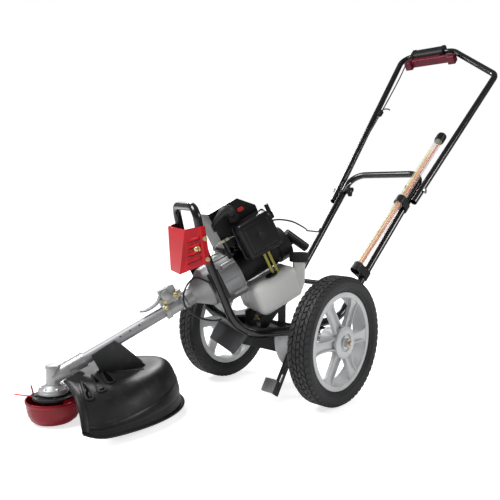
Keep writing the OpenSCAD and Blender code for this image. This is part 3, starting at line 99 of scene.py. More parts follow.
def filler(x, y, z):
    """Filler neck: x to the left and y forward of its axis."""
    return front(NECK_L + x, NECK_F + y, z)


def engine(l, a, u):
    """Engine: a along the boom, downhill, u square to it."""
    c, s = turn(ENGINE_DEG)
    return front(l, a * c + u * s, ENGINE_Z - a * s + u * c)


def near_side(a, u, l):
    """Engine seen from the left, with l out towards the eye."""
    return engine(l, a, u)


def down_boom(l, u, a):
    """Engine seen along the boom, for turned pieces on its axis."""
    return engine(l, a, u)


def handle(x, s, n):
    """Handle: s up the tubes from the fold, n out of their plane, forward."""
    c, k = turn(HANDLE_DEG)
    return row(x, FOLD_Y + s * c - n * k, FOLD_Z + s * k + n * c)


def store(x, y, z):
    """Storage tube: z along it, from its closed end."""
    low = handle(STORE_X + STORE_SHARE * STORE_FROM, STORE_FROM, STORE_N)
    way = (handle(STORE_X + STORE_SHARE * STORE_TO, STORE_TO, STORE_N) - low).normalized()
    flat = Vector((way.x, way.y, 0)).normalized()
    across = Vector((-flat.y, flat.x, 0))
    return low + (x * across.cross(way) + y * across + z * way) * MM


def left_wheel(x, y, z):
    return row(WHEEL_X + z, -x, AXLE_Z + y)


def right_wheel(x, y, z):
    return row(-WHEEL_X - z, x, AXLE_Z + y)


def pedal(x, y, z):
    """Pedal bar: z up along it from the axle, y behind it."""
    c, s = turn(PEDAL_LEAN)
    return row(PEDAL_X + x, y * c + z * s, AXLE_Z - y * s + z * c)


# Camera, as the photograph was taken

PICTURE = 500
CAMERA_AT = row(947.4, -1146.4, 490.4)
CAMERA_AZ, CAMERA_EL, CAMERA_ROLL = 42.18, 5.31, -0.1
CAMERA_LENS, CAMERA_SENSOR, CAMERA_CLIP = 43.11, 36.0, (0.01, 100.0)
PART_AWAY = 1.7


def camera():
    data = bpy.data.cameras.new("camera")
    data.lens, data.sensor_width = CAMERA_LENS, CAMERA_SENSOR
    data.clip_start, data.clip_end = CAMERA_CLIP
    o = bpy.data.objects.new("camera", data)
    bpy.context.collection.objects.link(o)
    o.location = CAMERA_AT
    o.rotation_euler = (math.radians(90 - CAMERA_EL), math.radians(CAMERA_ROLL), math.radians(CAMERA_AZ))
    bpy.context.scene.camera = o
    bpy.context.view_layer.update()
    return o


CAMERA = camera()


def sight(u, v):
    """Direction of the ray through a pixel of the photograph."""
    k = CAMERA_SENSOR / CAMERA_LENS / PICTURE
    d = Vector(((u - PICTURE / 2) * k, (PICTURE / 2 - v) * k, -1))
    return (CAMERA.matrix_world.to_3x3() @ d).normalized()


def seen(name, u, v):
    """Point and outward normal of an object's surface at a pixel of the photograph."""
    mesh, ray = bpy.data.objects[name].data, sight(u, v)
    tree = BVHTree.FromPolygons([p.co for p in mesh.vertices], [p.vertices for p in mesh.polygons])
    hit, normal, _, _ = tree.ray_cast(CAMERA_AT, ray)
    if hit is None:
        hit, normal, _, _ = tree.find_nearest(CAMERA_AT + PART_AWAY * ray)
    return hit, normal if normal.dot(ray) < 0 else -normal


# Shapes: lists of points in millimetres and faces

STRIP_SINK, STRIP_SHOULDER, STRIP_CHAMFER = 1.0, 0.6, 0.12
LEAST_TILT = 1e-3


def joined(*shapes):
    points, faces = [], []
    for p, f in shapes:
        faces += [tuple(i + len(points) for i in face) for face in f]
        points += list(p)
    return points, faces


def moved(shape, offset=(0, 0, 0), matrix=None):
    m = matrix or Matrix.Identity(3)
    return [m @ Vector(p) + Vector(offset) for p in shape[0]], shape[1]


def around(shape, count):
    """Copies of a shape, spread evenly about z."""
    turns = [turn(360 * i / count) for i in range(count)]
    return joined(*(moved(shape, matrix=Matrix(((c, -s, 0), (s, c, 0), (0, 0, 1)))) for c, s in turns))


def on_ring(r, deg, z=0.0):
    c, s = turn(deg)
    return r * c, r * s, z


def rings(loops, closed=False, caps=True):
    """Skin over loops of equal length."""
    n = len(loops[0])
    points = [Vector(p) for loop in loops for p in loop]
    faces = []
    for i in range(len(loops) if closed else len(loops) - 1):
        a, b = i * n, (i + 1) % len(loops) * n
        faces += [(a + j, a + (j + 1) % n, b + (j + 1) % n, b + j) for j in range(n)]
    if caps and not closed:
        faces += [tuple(range(n - 1, -1, -1)), tuple(range((len(loops) - 1) * n, len(loops) * n))]
    return points, faces


def circle(r, sides, z=0.0, flutes=0, depth=0.0):
    out = []
    for t in (2 * math.pi * i / sides for i in range(sides)):
        reach = r + depth * math.cos(flutes * t)
        out.append((reach * math.cos(t), reach * math.sin(t), z))
    return out


def lathe(profile, sides=48, flutes=0, depth=0.0):
    """Turned shape from (radius, height) pairs, with optional flutes."""
    return rings([circle(r, sides, z, flutes, depth if r > 2 * depth else 0) for r, z in profile])


def ring(profile, sides):
    """Turned shape whose profile closes on itself."""
    return rings([circle(r, sides, z) for r, z in profile], closed=True)


def tube(path, radius, sides=12):
    """Tube along points; radius is one value or one for each point."""
    path = [Vector(p) for p in path]
    radii = radius if isinstance(radius, (list, tuple)) else [radius] * len(path)
    loops, across = [], None
    for i, p in enumerate(path):
        way = (path[min(i + 1, len(path) - 1)] - path[max(i - 1, 0)]).normalized()
        if across is None:
            across = way.orthogonal().normalized()
        across = (across - way * across.dot(way)).normalized()
        up = way.cross(across)
        loops.append([p + radii[i] * (math.cos(t) * across + math.sin(t) * up)
                      for t in (2 * math.pi * j / sides for j in range(sides))])
    return rings(loops)


def slab(outline, z0, z1, edge=0.8):
    """Plate from an outline in x, y, with its edges broken."""
    pts = [Vector((x, y)) for x, y in outline]
    middle = sum(pts, Vector((0, 0))) / len(pts)
    reach = max((p - middle).length for p in pts)
    small = [middle + (p - middle) * (1 - edge / reach) for p in pts]
    e = min(edge, abs(z1 - z0) / 3)
    stack = [(small, z0), (pts, z0 + e), (pts, z1 - e), (small, z1)]
    return rings([[(p.x, p.y, z) for p in loop] for loop, z in stack])


def box(x0, x1, y0, y1, z0, z1, edge=0.8):
    return slab([(x0, y0), (x1, y0), (x1, y1), (x0, y1)], z0, z1, edge)


def rounded(w, h, r, n=5, at=(0, 0)):
    """Outline of a rounded rectangle."""
    out = []
    for k, (sx, sy) in enumerate(((1, 1), (-1, 1), (-1, -1), (1, -1))):
        for i in range(n + 1):
            t = math.pi / 2 * (k + i / n)
            out.append((at[0] + sx * (w / 2 - r) + r * math.cos(t), at[1] + sy * (h / 2 - r) + r * math.sin(t)))
    return out


def hexagon(across):
    r = across / math.sqrt(3)
    return [(r * math.cos(math.pi / 3 * i), r * math.sin(math.pi / 3 * i)) for i in range(6)]


def bolt(across, head, washer, sides, stud=None, stud_sides=20):
    """Hexagon head on a turned washer, with the end of its stud where it shows."""
    shapes = [lathe(washer, sides), slab(hexagon(across), *head)]
    return joined(*shapes, lathe(stud, stud_sides)) if stud else joined(*shapes)


def smooth(points, steps=6):
    """Catmull-Rom curve through points."""
    p = [Vector(q) for q in points]
    p = [2 * p[0] - p[1]] + p + [2 * p[-1] - p[-2]]
    out = []
    for i in range(1, len(p) - 2):
        a, b, c, d = p[i - 1:i + 3]
        for k in range(steps):
            t = k / steps
            out.append(0.5 * ((2 * b) + (c - a) * t + (2 * a - 5 * b + 4 * c - d) * t * t
                              + (3 * b - a - 3 * c + d) * t ** 3))
    return out + [p[-2]]


def swollen(stops, radii, steps=6):
    """Tube through stops whose radius runs through a list of its own."""
    path = smooth(stops, steps)
    places = np.linspace(0, len(radii) - 1, len(path))
    return tube(path, [float(r) for r in np.interp(places, range(len(radii)), radii)], sides=24)


def strip(rails, lift):
    """Raised band between two rails of (point, outward) pairs."""
    loops = []
    for (a, n), (b, m) in zip(*rails):
        w = (b - a) * STRIP_CHAMFER
        loops.append([a - n * STRIP_SINK, a + n * lift * STRIP_SHOULDER, a + w + n * lift,
                      b - w + m * lift, b + m * lift * STRIP_SHOULDER, b - m * STRIP_SINK])
    return rings(loops)


def facing(point, normal):
    """Frame on a surface: x across, y up, z out, in millimetres from the point."""
    z = normal.normalized()
    x = Vector((0, 0, 1)).cross(z)
    x = x.normalized() if x.length > LEAST_TILT else z.orthogonal().normalized()
    y = z.cross(x)
    return lambda a, b, c: point + (a * x + b * y + c * z) * MM


def piece(name, shape, place, body, material, flat=False, angle=35):
    """Mesh piece made from a shape, placed by a frame, riding on a body."""
    mesh = bpy.data.meshes.new(name)
    mesh.from_pydata([place(*p) for p in shape[0]], [], shape[1])
    mesh.validate()
    outward = bmesh.new()
    outward.from_mesh(mesh)
    bmesh.ops.recalc_face_normals(outward, faces=outward.faces)
    outward.to_mesh(mesh)
    outward.free()
    o = bpy.data.objects.new(name, mesh)
    bpy.context.collection.objects.link(o)
    mesh.materials.append(material)
    if not flat:
        mesh.shade_smooth()
        mesh.set_sharp_from_angle(angle=math.radians(angle))
    if body:
        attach(o, body)
    return o


# Shader nodes

def blank(name):
    m = bpy.data.materials.new(name)
    m.use_nodes = True
    return m, m.node_tree.nodes["Principled BSDF"]


def add(owner, kind):
    return owner.node_tree.nodes.new("ShaderNode" + kind)


def link(owner, output, socket):
    owner.node_tree.links.new(output, socket)


def put(node, values):
    for name, value in values.items():
        node.inputs[name].default_value = value


def noise(owner, scale, detail=2.0, vector=None):
    node = add(owner, "TexNoise")
    put(node, {"Scale": scale, "Detail": detail})
    if vector:
        link(owner, vector, node.inputs["Vector"])
    return node.outputs["Fac"]


def remap(owner, value, limits):
    node = add(owner, "MapRange")
    put(node, limits)
    link(owner, value, node.inputs["Value"])
    return node.outputs["Result"]


def ramp(owner, value, low, high, start=0.0, end=1.0):
    node = add(owner, "ValToRGB")
    first, last = node.color_ramp.elements
    first.position, last.position = start, end
    first.color, last.color = low, high
    link(owner, value, node.inputs["Fac"])
    return node.outputs["Color"]


# Materials

DUST = (0.35, 0.34, 0.32)
CLOUD_DETAIL, CLOUD_FROM, CLOUD_TO = 6, 0.3, 0.72
PATCH_SCALE, PATCH_DETAIL, PATCH_FROM, PATCH_TO = 2.6, 9, 0.56, 0.8
GRAIN_DETAIL, GRAIN_STRENGTH = 3, 0.6
LEAST_ROUGH, COAT_ROUGH, EDGE_SAMPLES = 0.03, 0.12, 3
GLOW_REACH = (0.02, 0.018, 0.015)
HAZE_SCALE, HAZE_LESS, HAZE_MORE, HAZE_SHADE = 40, 0.05, 0.07, 0.9


def coloured(base, factor):
    return tuple(min(1, max(0, c * factor)) for c in base) + (1,)


def finish(name, base, rough, metal=0.0, spread=0.18, grain=260.0, grain_depth=0.00006, wear=0.0,
           wear_colour=DUST, scale=22.0, rough_spread=0.12, edge=0.0006, coat=0.0, stretch=(1, 1, 1),
           subsurface=0.0, ior=1.5):
    """Worn surface: cloudy colour, varied roughness, fine grain, dusty patches and softened edges."""
    m, shader = blank(name)
    where, warp = add(m, "TexCoord"), add(m, "Mapping")
    put(warp, {"Scale": stretch})
    link(m, where.outputs["Object"], warp.inputs["Vector"])
    vector = warp.outputs["Vector"]
    cloud, fine = noise(m, scale, CLOUD_DETAIL, vector), noise(m, grain, GRAIN_DETAIL, vector)
    colour = ramp(m, cloud, coloured(base, 1 - spread), coloured(base, 1 + spread), CLOUD_FROM, CLOUD_TO)
    if wear:
        patch = noise(m, scale * PATCH_SCALE, PATCH_DETAIL, vector)
        mask = remap(m, patch, {"From Min": PATCH_FROM, "From Max": PATCH_TO, "To Max": wear})
        mix = add(m, "Mix")
        mix.data_type = "RGBA"
        put(mix, {"B": (*wear_colour, 1)})
        link(m, mask, mix.inputs["Factor"])
        link(m, colour, mix.inputs["A"])
        colour = mix.outputs["Result"]
    link(m, colour, shader.inputs["Base Color"])
    rough_at = remap(m, cloud, {"To Min": max(LEAST_ROUGH, rough - rough_spread),
                                "To Max": min(1, rough + rough_spread)})
    link(m, rough_at, shader.inputs["Roughness"])
    bump = add(m, "Bump")
    put(bump, {"Distance": grain_depth, "Strength": GRAIN_STRENGTH})
    link(m, fine, bump.inputs["Height"])
    if edge:
        soft = add(m, "Bevel")
        soft.samples = EDGE_SAMPLES
        put(soft, {"Radius": edge})
        link(m, soft.outputs["Normal"], bump.inputs["Normal"])
    link(m, bump.outputs["Normal"], shader.inputs["Normal"])
    put(shader, {"Metallic": metal, "IOR": ior, "Coat Weight": coat, "Coat Roughness": COAT_ROUGH,
                 "Subsurface Weight": subsurface, "Subsurface Radius": GLOW_REACH})
    return m


def clear(name, tint, see, rough=0.12):
    """Clear plastic: see-through with a glossy skin and faint clouding."""
    m, shader = blank(name)
    cloud = noise(m, HAZE_SCALE)
    haze = remap(m, cloud, {"To Min": 1 - see - HAZE_LESS, "To Max": 1 - see + HAZE_MORE})
    link(m, haze, shader.inputs["Alpha"])
    link(m, ramp(m, cloud, coloured(tint, HAZE_SHADE), coloured(tint, 1)), shader.inputs["Base Color"])
    put(shader, {"Roughness": rough})
    return m


GLOSS = finish("gloss_black_paint", (0.005, 0.005, 0.006), 0.2, spread=0.35, grain=420, grain_depth=0.000006,
               wear=0.03, rough_spread=0.06, edge=0, coat=0.2)
SATIN = finish("satin_black_paint", (0.011, 0.011, 0.012), 0.42, spread=0.3, wear=0.07)
MOULDED = finish("black_moulding", (0.010, 0.010, 0.011), 0.46, spread=0.3, grain=900, grain_depth=0.0001,
                 wear=0.05, ior=1.36)
SHINY = finish("gloss_moulding", (0.008, 0.008, 0.009), 0.33, spread=0.3, grain=700, grain_depth=0.00003,
               wear=0.04, ior=1.36)
# Near-black, rough, dull finish: painted shade for the scoops' insides, which are not cut into the hood
PAINTED_SHADE = finish("painted_recess_shade", (0.0015, 0.0015, 0.0016), 0.9, spread=0.3, edge=0, ior=1.1)
TREAD = finish("tyre_rubber", (0.016, 0.016, 0.017), 0.62, spread=0.3, grain=600, grain_depth=0.00015,
               wear=0.12, wear_colour=(0.10, 0.098, 0.095), scale=30)
SILVER = finish("silver_wheel_paint", (0.60, 0.605, 0.61), 0.4, metal=0.3, spread=0.08, grain=500,
                grain_depth=0.00003, wear=0.12, wear_colour=(0.42, 0.42, 0.42))
CAST = finish("cast_alloy", (0.36, 0.36, 0.365), 0.44, metal=0.6, spread=0.16, grain=380, grain_depth=0.00022,
              wear=0.25, wear_colour=(0.2, 0.2, 0.2))
PALE_CAST = finish("pale_cast_alloy", (0.42, 0.42, 0.42), 0.40, metal=0.6, spread=0.1, grain=420,
                   grain_depth=0.00014, wear=0.18, wear_colour=(0.33, 0.33, 0.33))
DRAWN = finish("drawn_alloy", (0.34, 0.34, 0.35), 0.52, metal=0.4, spread=0.07, grain=300, grain_depth=0.00003,
               stretch=(1, 0.08, 0.3), wear=0.1, wear_colour=(0.3, 0.3, 0.3))
STEEL = finish("plated_steel", (0.55, 0.55, 0.56), 0.3, metal=0.95, spread=0.12, grain=500,
               grain_depth=0.00004, wear=0.15, wear_colour=(0.3, 0.29, 0.27))
BRASSY = finish("yellow_zinc", (0.62, 0.52, 0.26), 0.32, metal=0.9, spread=0.16, grain=500,
                grain_depth=0.00004, wear=0.2, wear_colour=(0.4, 0.36, 0.25))
BLACKENED = finish("heat_black_steel", (0.035, 0.034, 0.033), 0.6, metal=0.5, spread=0.3, grain=320,
                   grain_depth=0.0002, wear=0.25, wear_colour=(0.09, 0.06, 0.045))
FIN = finish("dark_cast_fins", (0.04, 0.04, 0.042), 0.5, metal=0.4, spread=0.3, grain=380, grain_depth=0.0002,
             wear=0.2, wear_colour=(0.14, 0.14, 0.14))
GREY = finish("grey_paint", (0.055, 0.055, 0.058), 0.4, metal=0.2, spread=0.2, wear=0.15,
              wear_colour=(0.14, 0.14, 0.14))
PALE = finish("pale_grey_plastic", (0.30, 0.30, 0.30), 0.5, spread=0.12, grain=700, grain_depth=0.0001,
              wear=0.12, wear_colour=(0.16, 0.16, 0.16))
RED = finish("red_paint", (0.50, 0.004, 0.012), 0.36, spread=0.12, grain=400, grain_depth=0.00002, wear=0.06,
             wear_colour=(0.30, 0.004, 0.01), ior=1.33)
BOWL = finish("red_moulding", (0.25, 0.004, 0.013), 0.3, spread=0.18, grain=800, grain_depth=0.00003, wear=0.1,
              wear_colour=(0.16, 0.004, 0.01), ior=1.4)
MAROON = finish("maroon_moulding", (0.12, 0.004, 0.016), 0.34, spread=0.2, grain=800, grain_depth=0.00005,
                wear=0.08, wear_colour=(0.07, 0.003, 0.01), ior=1.36)
TANK = finish("milky_tank", (0.80, 0.80, 0.78), 0.38, spread=0.05, grain=600, grain_depth=0.00004, scale=9,
              wear=0.1, wear_colour=(0.66, 0.66, 0.64), subsurface=0.25)
OLIVE = finish("fuel_hose", (0.40, 0.36, 0.06), 0.35, spread=0.2, grain=500, grain_depth=0.00004)
RUBBER = finish("cable_sheath", (0.010, 0.010, 0.011), 0.5, spread=0.3, grain=700)
CREAM = finish("cream_plastic", (0.62, 0.58, 0.40), 0.45, spread=0.1, grain=600)
BUTTON = finish("red_button", (0.62, 0.02, 0.016), 0.35, spread=0.12, grain=600, wear=0.1,
                wear_colour=(0.4, 0.03, 0.03))
CLEAR = clear("clear_tube", (0.72, 0.69, 0.58), see=0.83)
LINE_RED = finish("red_line", (0.80, 0.03, 0.02), 0.3, spread=0.15, grain=500)
LINE_YELLOW = finish("yellow_line", (0.86, 0.72, 0.26), 0.3, spread=0.12, grain=500)
LINE_ORANGE = finish("orange_line", (0.88, 0.28, 0.04), 0.3, spread=0.12, grain=500)

FINISHES = {
    GLOSS: ["lower_handle", "upper_handle", "cradle_frame"],
    SATIN: ["carriage_frame", "engine_mount", "shield_bracket"],
    MOULDED: ["storage_clips", "storage_cap", "grip_housing", "left_knob", "right_knob", "debris_shield",
              "fuel_cap", "spark_plug", "starter_cover", "crankcase"],
    SHINY: ["top_cover", "filter_cover", "starter_grip", "carburettor", "choke_lever"],
    TREAD: ["left_tyre", "right_tyre"],
    SILVER: ["left_rim", "right_rim", "pedal_lever"],
    CAST: ["fan_housing", "clutch_bell"],
    PALE_CAST: ["gearbox_housing", "boom_clamp"],
    DRAWN: ["boom"],
    STEEL: ["axle", "frame_bolts", "swivel_pin", "lock_pin", "bearings", "crankshaft", "drive_shaft",
            "output_spindle", "piston"],
    BRASSY: ["front_bolts"],
    BLACKENED: ["muffler"],
    FIN: ["cylinder_block", "flywheel", "starter_pulley", "line_holder"],
    GREY: ["skid_plate"],
    RED: ["guard_panel"],
    BOWL: ["glide_bowl"],
    MAROON: ["throttle_bail"],
    TANK: ["fuel_tank"],
    OLIVE: ["fuel_lines"],
    RUBBER: ["throttle_cable_run", "throttle_cable_top", "throttle_loop", "front_cable"],
    BUTTON: ["stop_button"],
    CLEAR: ["storage_tube"],
    LINE_RED: ["cutting_lines"],
    LINE_ORANGE: ["spare_lines"],
}


def paint():
    for material, names in FINISHES.items():
        for name in names:
            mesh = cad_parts[name].data
            mesh.materials.clear()
            mesh.materials.append(material)


# Cords: the throttle cable's free loops and the cutting lines

CABLE_R, CORD_RESOLUTION = 2.2, 4
LOOP_STOPS = [(0, -54, 415), (2, -46, 421), (6, -34, 426), (13, -8, 429), (20, 34, 423), (12, 84, 409),
              (-12, 134, 399), (-44, 184, 391), (-69, 240, 386), (-90, 300, 381), (-106, 330, 388)]
FOLD_STOPS = [(-118, -19, 14), (-120, -4, 18), (-124, 14, 20), (-128, 30, 16), (-130, 39, 13.2)]
LINE_R = 1.65
LINE_STOPS = [(44.2, -2, 56), (52, -4, 57), (63, -9, 57), (74, -18, 56), (83, -32, 53), (88, -46, 49)]
LINE_TURNS = (260, 80)


def cord(name, points, radius, body, material, node):
    data = bpy.data.curves.new(name, "CURVE")
    data.dimensions = "3D"
    data.bevel_depth, data.bevel_resolution, data.use_fill_caps = radius * MM, CORD_RESOLUTION, True
    spline = data.splines.new("POLY")
    spline.points.add(len(points) - 1)
    for q, p in zip(spline.points, points):
        q.co = (*p, 1)
    o = bpy.data.objects.new(name, data)
    bpy.context.collection.objects.link(o)
    data.materials.append(material)
    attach(o, body)
    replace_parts(o, node)


def cords():
    loop = smooth([row(*p) for p in LOOP_STOPS], steps=3)
    fold = smooth([handle(*p) for p in FOLD_STOPS], steps=4)
    for name, path in (("throttle_loop_engine", loop), ("throttle_loop_fold", fold)):
        cord(name, path, CABLE_R, "carriage", RUBBER, "throttle_loop")
    for i, deg in enumerate(LINE_TURNS):
        c, s = turn(deg)
        line = smooth([spindle(x * c - y * s, x * s + y * c, z) for x, y, z in LINE_STOPS], steps=4)
        cord(f"cutting_line_{i}", line, LINE_R, "head", LINE_RED, "cutting_lines")


# Wheels: tyres with a block tread, rims with channel spokes, washers under the nuts

TYRE_HALF = [(110, 16.8), (116, 17.6), (119.5, 22), (121, 23.2), (122.5, 23.4), (125, 27.2), (131, 29.6),
             (137, 29.6), (138, 29.9), (139.5, 29.9), (140.5, 29.2), (143.2, 27.8), (146.6, 24.4),
             (148.1, 18.8), (148.5, 9), (148.5, 0)]
TREAD_Z, TREAD_R = [0, 9, 18.8, 24.4, 27.8, 29.6], [148.5, 148.5, 148.1, 146.6, 143.2, 138.5]
TREAD_TOP, TREAD_PITCHES = 152.2, 58
# Each row of blocks: place across, width, length, skew, height, share of a pitch
TREAD_ROWS = [(5.2, 9.0, 13.6, 7, 3.0, 0.0), (15.2, 9.0, 13.6, -7, 3.2, 0.45), (24.2, 7.6, 12.4, 5, 2.2, 0.9)]
BLOCK_ROOT, SHOULDER_RISE, SHOULDER_PLAN, CROWN_PLAN = -1.5, 0.7, 0.98, 0.86
RIM_BARREL = [(103, -19.4), (103.4, 19.0), (104.4, 19.5), (114.2, 19.5), (114.9, 19.0), (114.9, 17.2),
              (109.8, 17.0), (109.8, -17.0), (114.9, -17.2), (114.9, -19.0), (114.2, -19.5), (104, -19.5)]
HUB = [(6.5, 26.3), (20.8, 26.3), (21.2, 29.0), (23, 29.2), (34, 28.6), (37.4, 27), (38, 24), (37.4, 20),
       (30, 12), (28.6, 8), (28.4, -24), (27, -25.9), (6.5, -25.9)]
SPOKES, SPOKE_STEPS, SPOKE_FROM, SPOKE_TO = 6, 14, 27.0, 104.5
SPOKE_HALF, SPOKE_WIDEN, FLARE_FROM, HUB_FLARE, RIM_FLARE = 13.2, 3.2, 0.6, 3.0, 7.2
SPOKE_TOP, TOP_FALL, SPOKE_BACK, BACK_FALL = 22.8, 4.2, 11.9, 1.5
SPOKE_EDGE, EDGE_LAND, EDGE_SIDE, EDGE_DROP = 5.0, 1.8, 0.6, 1.0
CHANNEL_DEPTH, CHANNEL_START, CHANNEL_POWER, CHANNEL_SLOPE = 6.0, 0.15, 0.4, 0.8
NUT_WASHER = [(9.5, 37.4), (9.5, 38.6), (7, 38.8)]
AXLE_END = [(4.2, 44.4), (4.2, 44.8), (2, 44.9)]


def tread_block(t, z, width, length, skew, lift):
    def on(dz, dt, up, k):
        r = min(TREAD_TOP, float(np.interp(abs(z + dz * k), TREAD_Z, TREAD_R)) + up)
        a = t + (dt * k + skew * dz / width) / TREAD_TOP
        return r * math.cos(a), r * math.sin(a), z + dz * k
    corners = [(i * width / 2, j * length / 2) for i, j in ((-1, -1), (1, -1), (1, 1), (-1, 1))]
    steps = ((BLOCK_ROOT, 1), (lift * SHOULDER_RISE, SHOULDER_PLAN), (lift, CROWN_PLAN))
    return rings([[on(dz, dt, up, k) for dz, dt in corners] for up, k in steps])


def tyre():
    carcass = ring(TYRE_HALF + [(r, -z) for r, z in reversed(TYRE_HALF[:-1])], sides=96)
    blocks = []
    for i in range(TREAD_PITCHES):
        for z, width, length, skew, lift, phase in TREAD_ROWS:
            t = 2 * math.pi * (i + phase) / TREAD_PITCHES
            blocks += [tread_block(t, k * z, width, length, k * skew, lift) for k in (-1, 1)]
    return joined(carcass, *blocks)


def spoke():
    """Channel spoke that widens into the hub and the rim."""
    loops = []
    for i in range(SPOKE_STEPS + 1):
        k = i / SPOKE_STEPS
        r, ends = SPOKE_FROM + (SPOKE_TO - SPOKE_FROM) * k, abs(2 * k - 1)
        flare = (RIM_FLARE if k > 0.5 else HUB_FLARE) * max(0, ends - FLARE_FROM)
        half = SPOKE_HALF + SPOKE_WIDEN * ends ** 3 + flare
        top, back = SPOKE_TOP - TOP_FALL * k, SPOKE_BACK - BACK_FALL * k
        hollow = math.sin(math.pi * min(1, CHANNEL_START + (1 - CHANNEL_START) * k)) ** CHANNEL_POWER
        floor, inner = top - CHANNEL_DEPTH * hollow, half - SPOKE_EDGE
        section = [(inner - CHANNEL_SLOPE, floor), (inner + CHANNEL_SLOPE, top), (half - EDGE_LAND, top),
                   (half - EDGE_SIDE, top - EDGE_DROP), (half, back)]
        loops.append([(r, -y, z) for y, z in reversed(section)] + [(r, y, z) for y, z in section])
    return rings(loops)


def wheels():
    tread = tyre()
    rim = joined(ring(RIM_BARREL, sides=96), ring(HUB, sides=64), around(spoke(), SPOKES))
    nut = joined(lathe(NUT_WASHER, sides=32), lathe(AXLE_END, sides=24))
    for side, place in (("left", left_wheel), ("right", right_wheel)):
        body = f"{side}_wheel"
        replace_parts(piece(f"{side}_tyre_tread", tread, place, body, TREAD), f"{side}_tyre")
        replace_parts(piece(f"{side}_rim_cast", rim, place, body, SILVER), f"{side}_rim")
        piece(f"{side}_nut_washer", nut, place, body, BRASSY)


# Pedal: black paint on the slotted bar and a grey cover on its pad

PEDAL_FROM, PEDAL_LEN = 56.0, 104.0
BAR_W, BAR_T, PAD_W, PAD_LEN, PAD_T, PAD_EDGE = 22.0, 3.0, 32.0, 32.0, 5.0, 1.5
SLOT_W, SLOT_LEN, SLOT_LAP, SKIN = 7.0, 20.0, 1.0, 0.4


def pedal_skins():
    low, top = -PEDAL_FROM - PEDAL_LEN, -PEDAL_FROM
    slot0, slot1 = low + PAD_LEN, low + PAD_LEN + SLOT_LEN
    x0, x1, half, inner = -SKIN, BAR_T + 2 * SKIN, BAR_W / 2 + SKIN, SLOT_W / 2 + SKIN
    bar = joined(box(x0, x1, -half, half, low - SKIN, slot0 - SKIN),
                 box(x0, x1, -half, half, slot1 + SKIN, top + SKIN),
                 box(x0, x1, -half, -inner, slot0 - SLOT_LAP, slot1 + SLOT_LAP),
                 box(x0, x1, inner, half, slot0 - SLOT_LAP, slot1 + SLOT_LAP))
    piece("pedal_bar_paint", bar, pedal, "pedal", SATIN)
    outer = -BAR_W / 2 - PAD_T - SKIN
    pad = box(BAR_T - PAD_W - SKIN, BAR_T + SKIN, outer, outer + PAD_T + SKIN, low - SKIN, low + PAD_LEN + SKIN,
              PAD_EDGE)
    piece("pedal_pad_cover", pad, pedal, "pedal", PALE)


# Storage tube: spare lines and the cap's ribs

SPARE_RING, SPARE_R, SPARE_FROM, SPARE_STEPS = 5.0, 2.6, 1.6, 12
SPARES = [("red", LINE_RED, 505.0, 0), ("yellow", LINE_YELLOW, 470.0, 120), ("orange", LINE_ORANGE, 440.0, 240)]
CAP_R, CAP_FROM, CAP_LEN, CAP_RIBS = 13.5, 515.0, 28.0, 8
RIB_SINK, RIB_RISE, RIB_HALF, RIB_LOW, RIB_HIGH, RIB_EDGE = 0.6, 1.0, 2.2, 3.0, 2.0, 0.7


def storage():
    for name, material, length, deg in SPARES:
        way = [on_ring(SPARE_RING, deg, SPARE_FROM + length * i / SPARE_STEPS) for i in range(SPARE_STEPS + 1)]
        o = piece(f"spare_line_{name}", tube(way, SPARE_R), store, "carriage", material)
        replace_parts(o, "spare_lines")
    rib = box(CAP_R - RIB_SINK, CAP_R + RIB_RISE, -RIB_HALF, RIB_HALF, CAP_FROM + RIB_LOW,
              CAP_FROM + CAP_LEN - RIB_HIGH, RIB_EDGE)
    piece("storage_cap_ribs", around(rib, CAP_RIBS), store, "store_cap", SHINY)


# Debris shield: smooth hood with its rim lip, front flanges, bead, scoops with painted shade across their
# openings, and ledge

HOOD_X, HOOD_BACK, HOOD_FRONT, HOOD_T, HOOD_DEG = 190.0, 288.0, 12.0, 3.5, 84.0
HOOD_RIM, HOOD_RISE, HUMP_RISE, EDGE_POWER, BACK_POWER, CUT_SHARE = 16.0, 82.0, 80.0, 6, 12, 0.2
HOOD_ROWS, HOOD_COLS, ROW_POWER = 30, 72, 0.8
SLOPE_DEG, SLOPE_SHARE, SLOPE_LAST = 0.5, 0.005, 0.969
CORNER_DEG, CORNER_RISE = 72.0, 16.0
LIP_SHARE, LIP_Z, LIP_ROWS, LIP_ROUND = 0.97, 4.0, 3, [(0.992, 0.9), (1.0, 0.6), (1.0, 0.0)]
FLANGE_W, FLANGE_H, FLANGE_GAP, FLANGE_MOST = 11.0, 3.0, 0.6, 0.9
FLANGE_FROM, FLANGE_TO, FLANGE_STEPS = 0.22, 0.965, 40
BEAD_SPAN, BEAD_SHARES, BEAD_H, BEAD_STEPS = 0.97, (0.93, 0.955), 1.6, 60
# Scoop outlines and the ledge's run, in pixels of the photograph
SCOOPS = [((80.5, 381.5), (83.5, 391), (87, 399.5), (91.5, 399.8), (93.5, 397), (88, 388)),
          ((92, 375.5), (95, 384), (98.5, 391.5), (103, 391.8), (105.5, 389), (100, 381)),
          ((100.5, 370), (104, 377), (108, 383), (112.5, 383), (114.5, 380.5), (108.5, 374))]
LEDGE = [(110, 371), (118, 371.4), (127, 370.8), (136, 370), (144, 369.4)]
SCOOP_R, SCOOP_SEAT, SHADE_SHEET_RISES, LEDGE_R = 2.4, 0.4, (0.1, 0.7), 2.0


def corner_lift(q):
    return CORNER_RISE * max(0.0, (abs(q) - CORNER_DEG) / (HOOD_DEG - CORNER_DEG)) ** 2


def hood_at(q, t, z, inset=0.0):
    c, s = turn(q)
    return Vector(((HOOD_X - inset) * s * t, HOOD_FRONT + (HOOD_BACK - HOOD_FRONT - inset) * c * t, z))


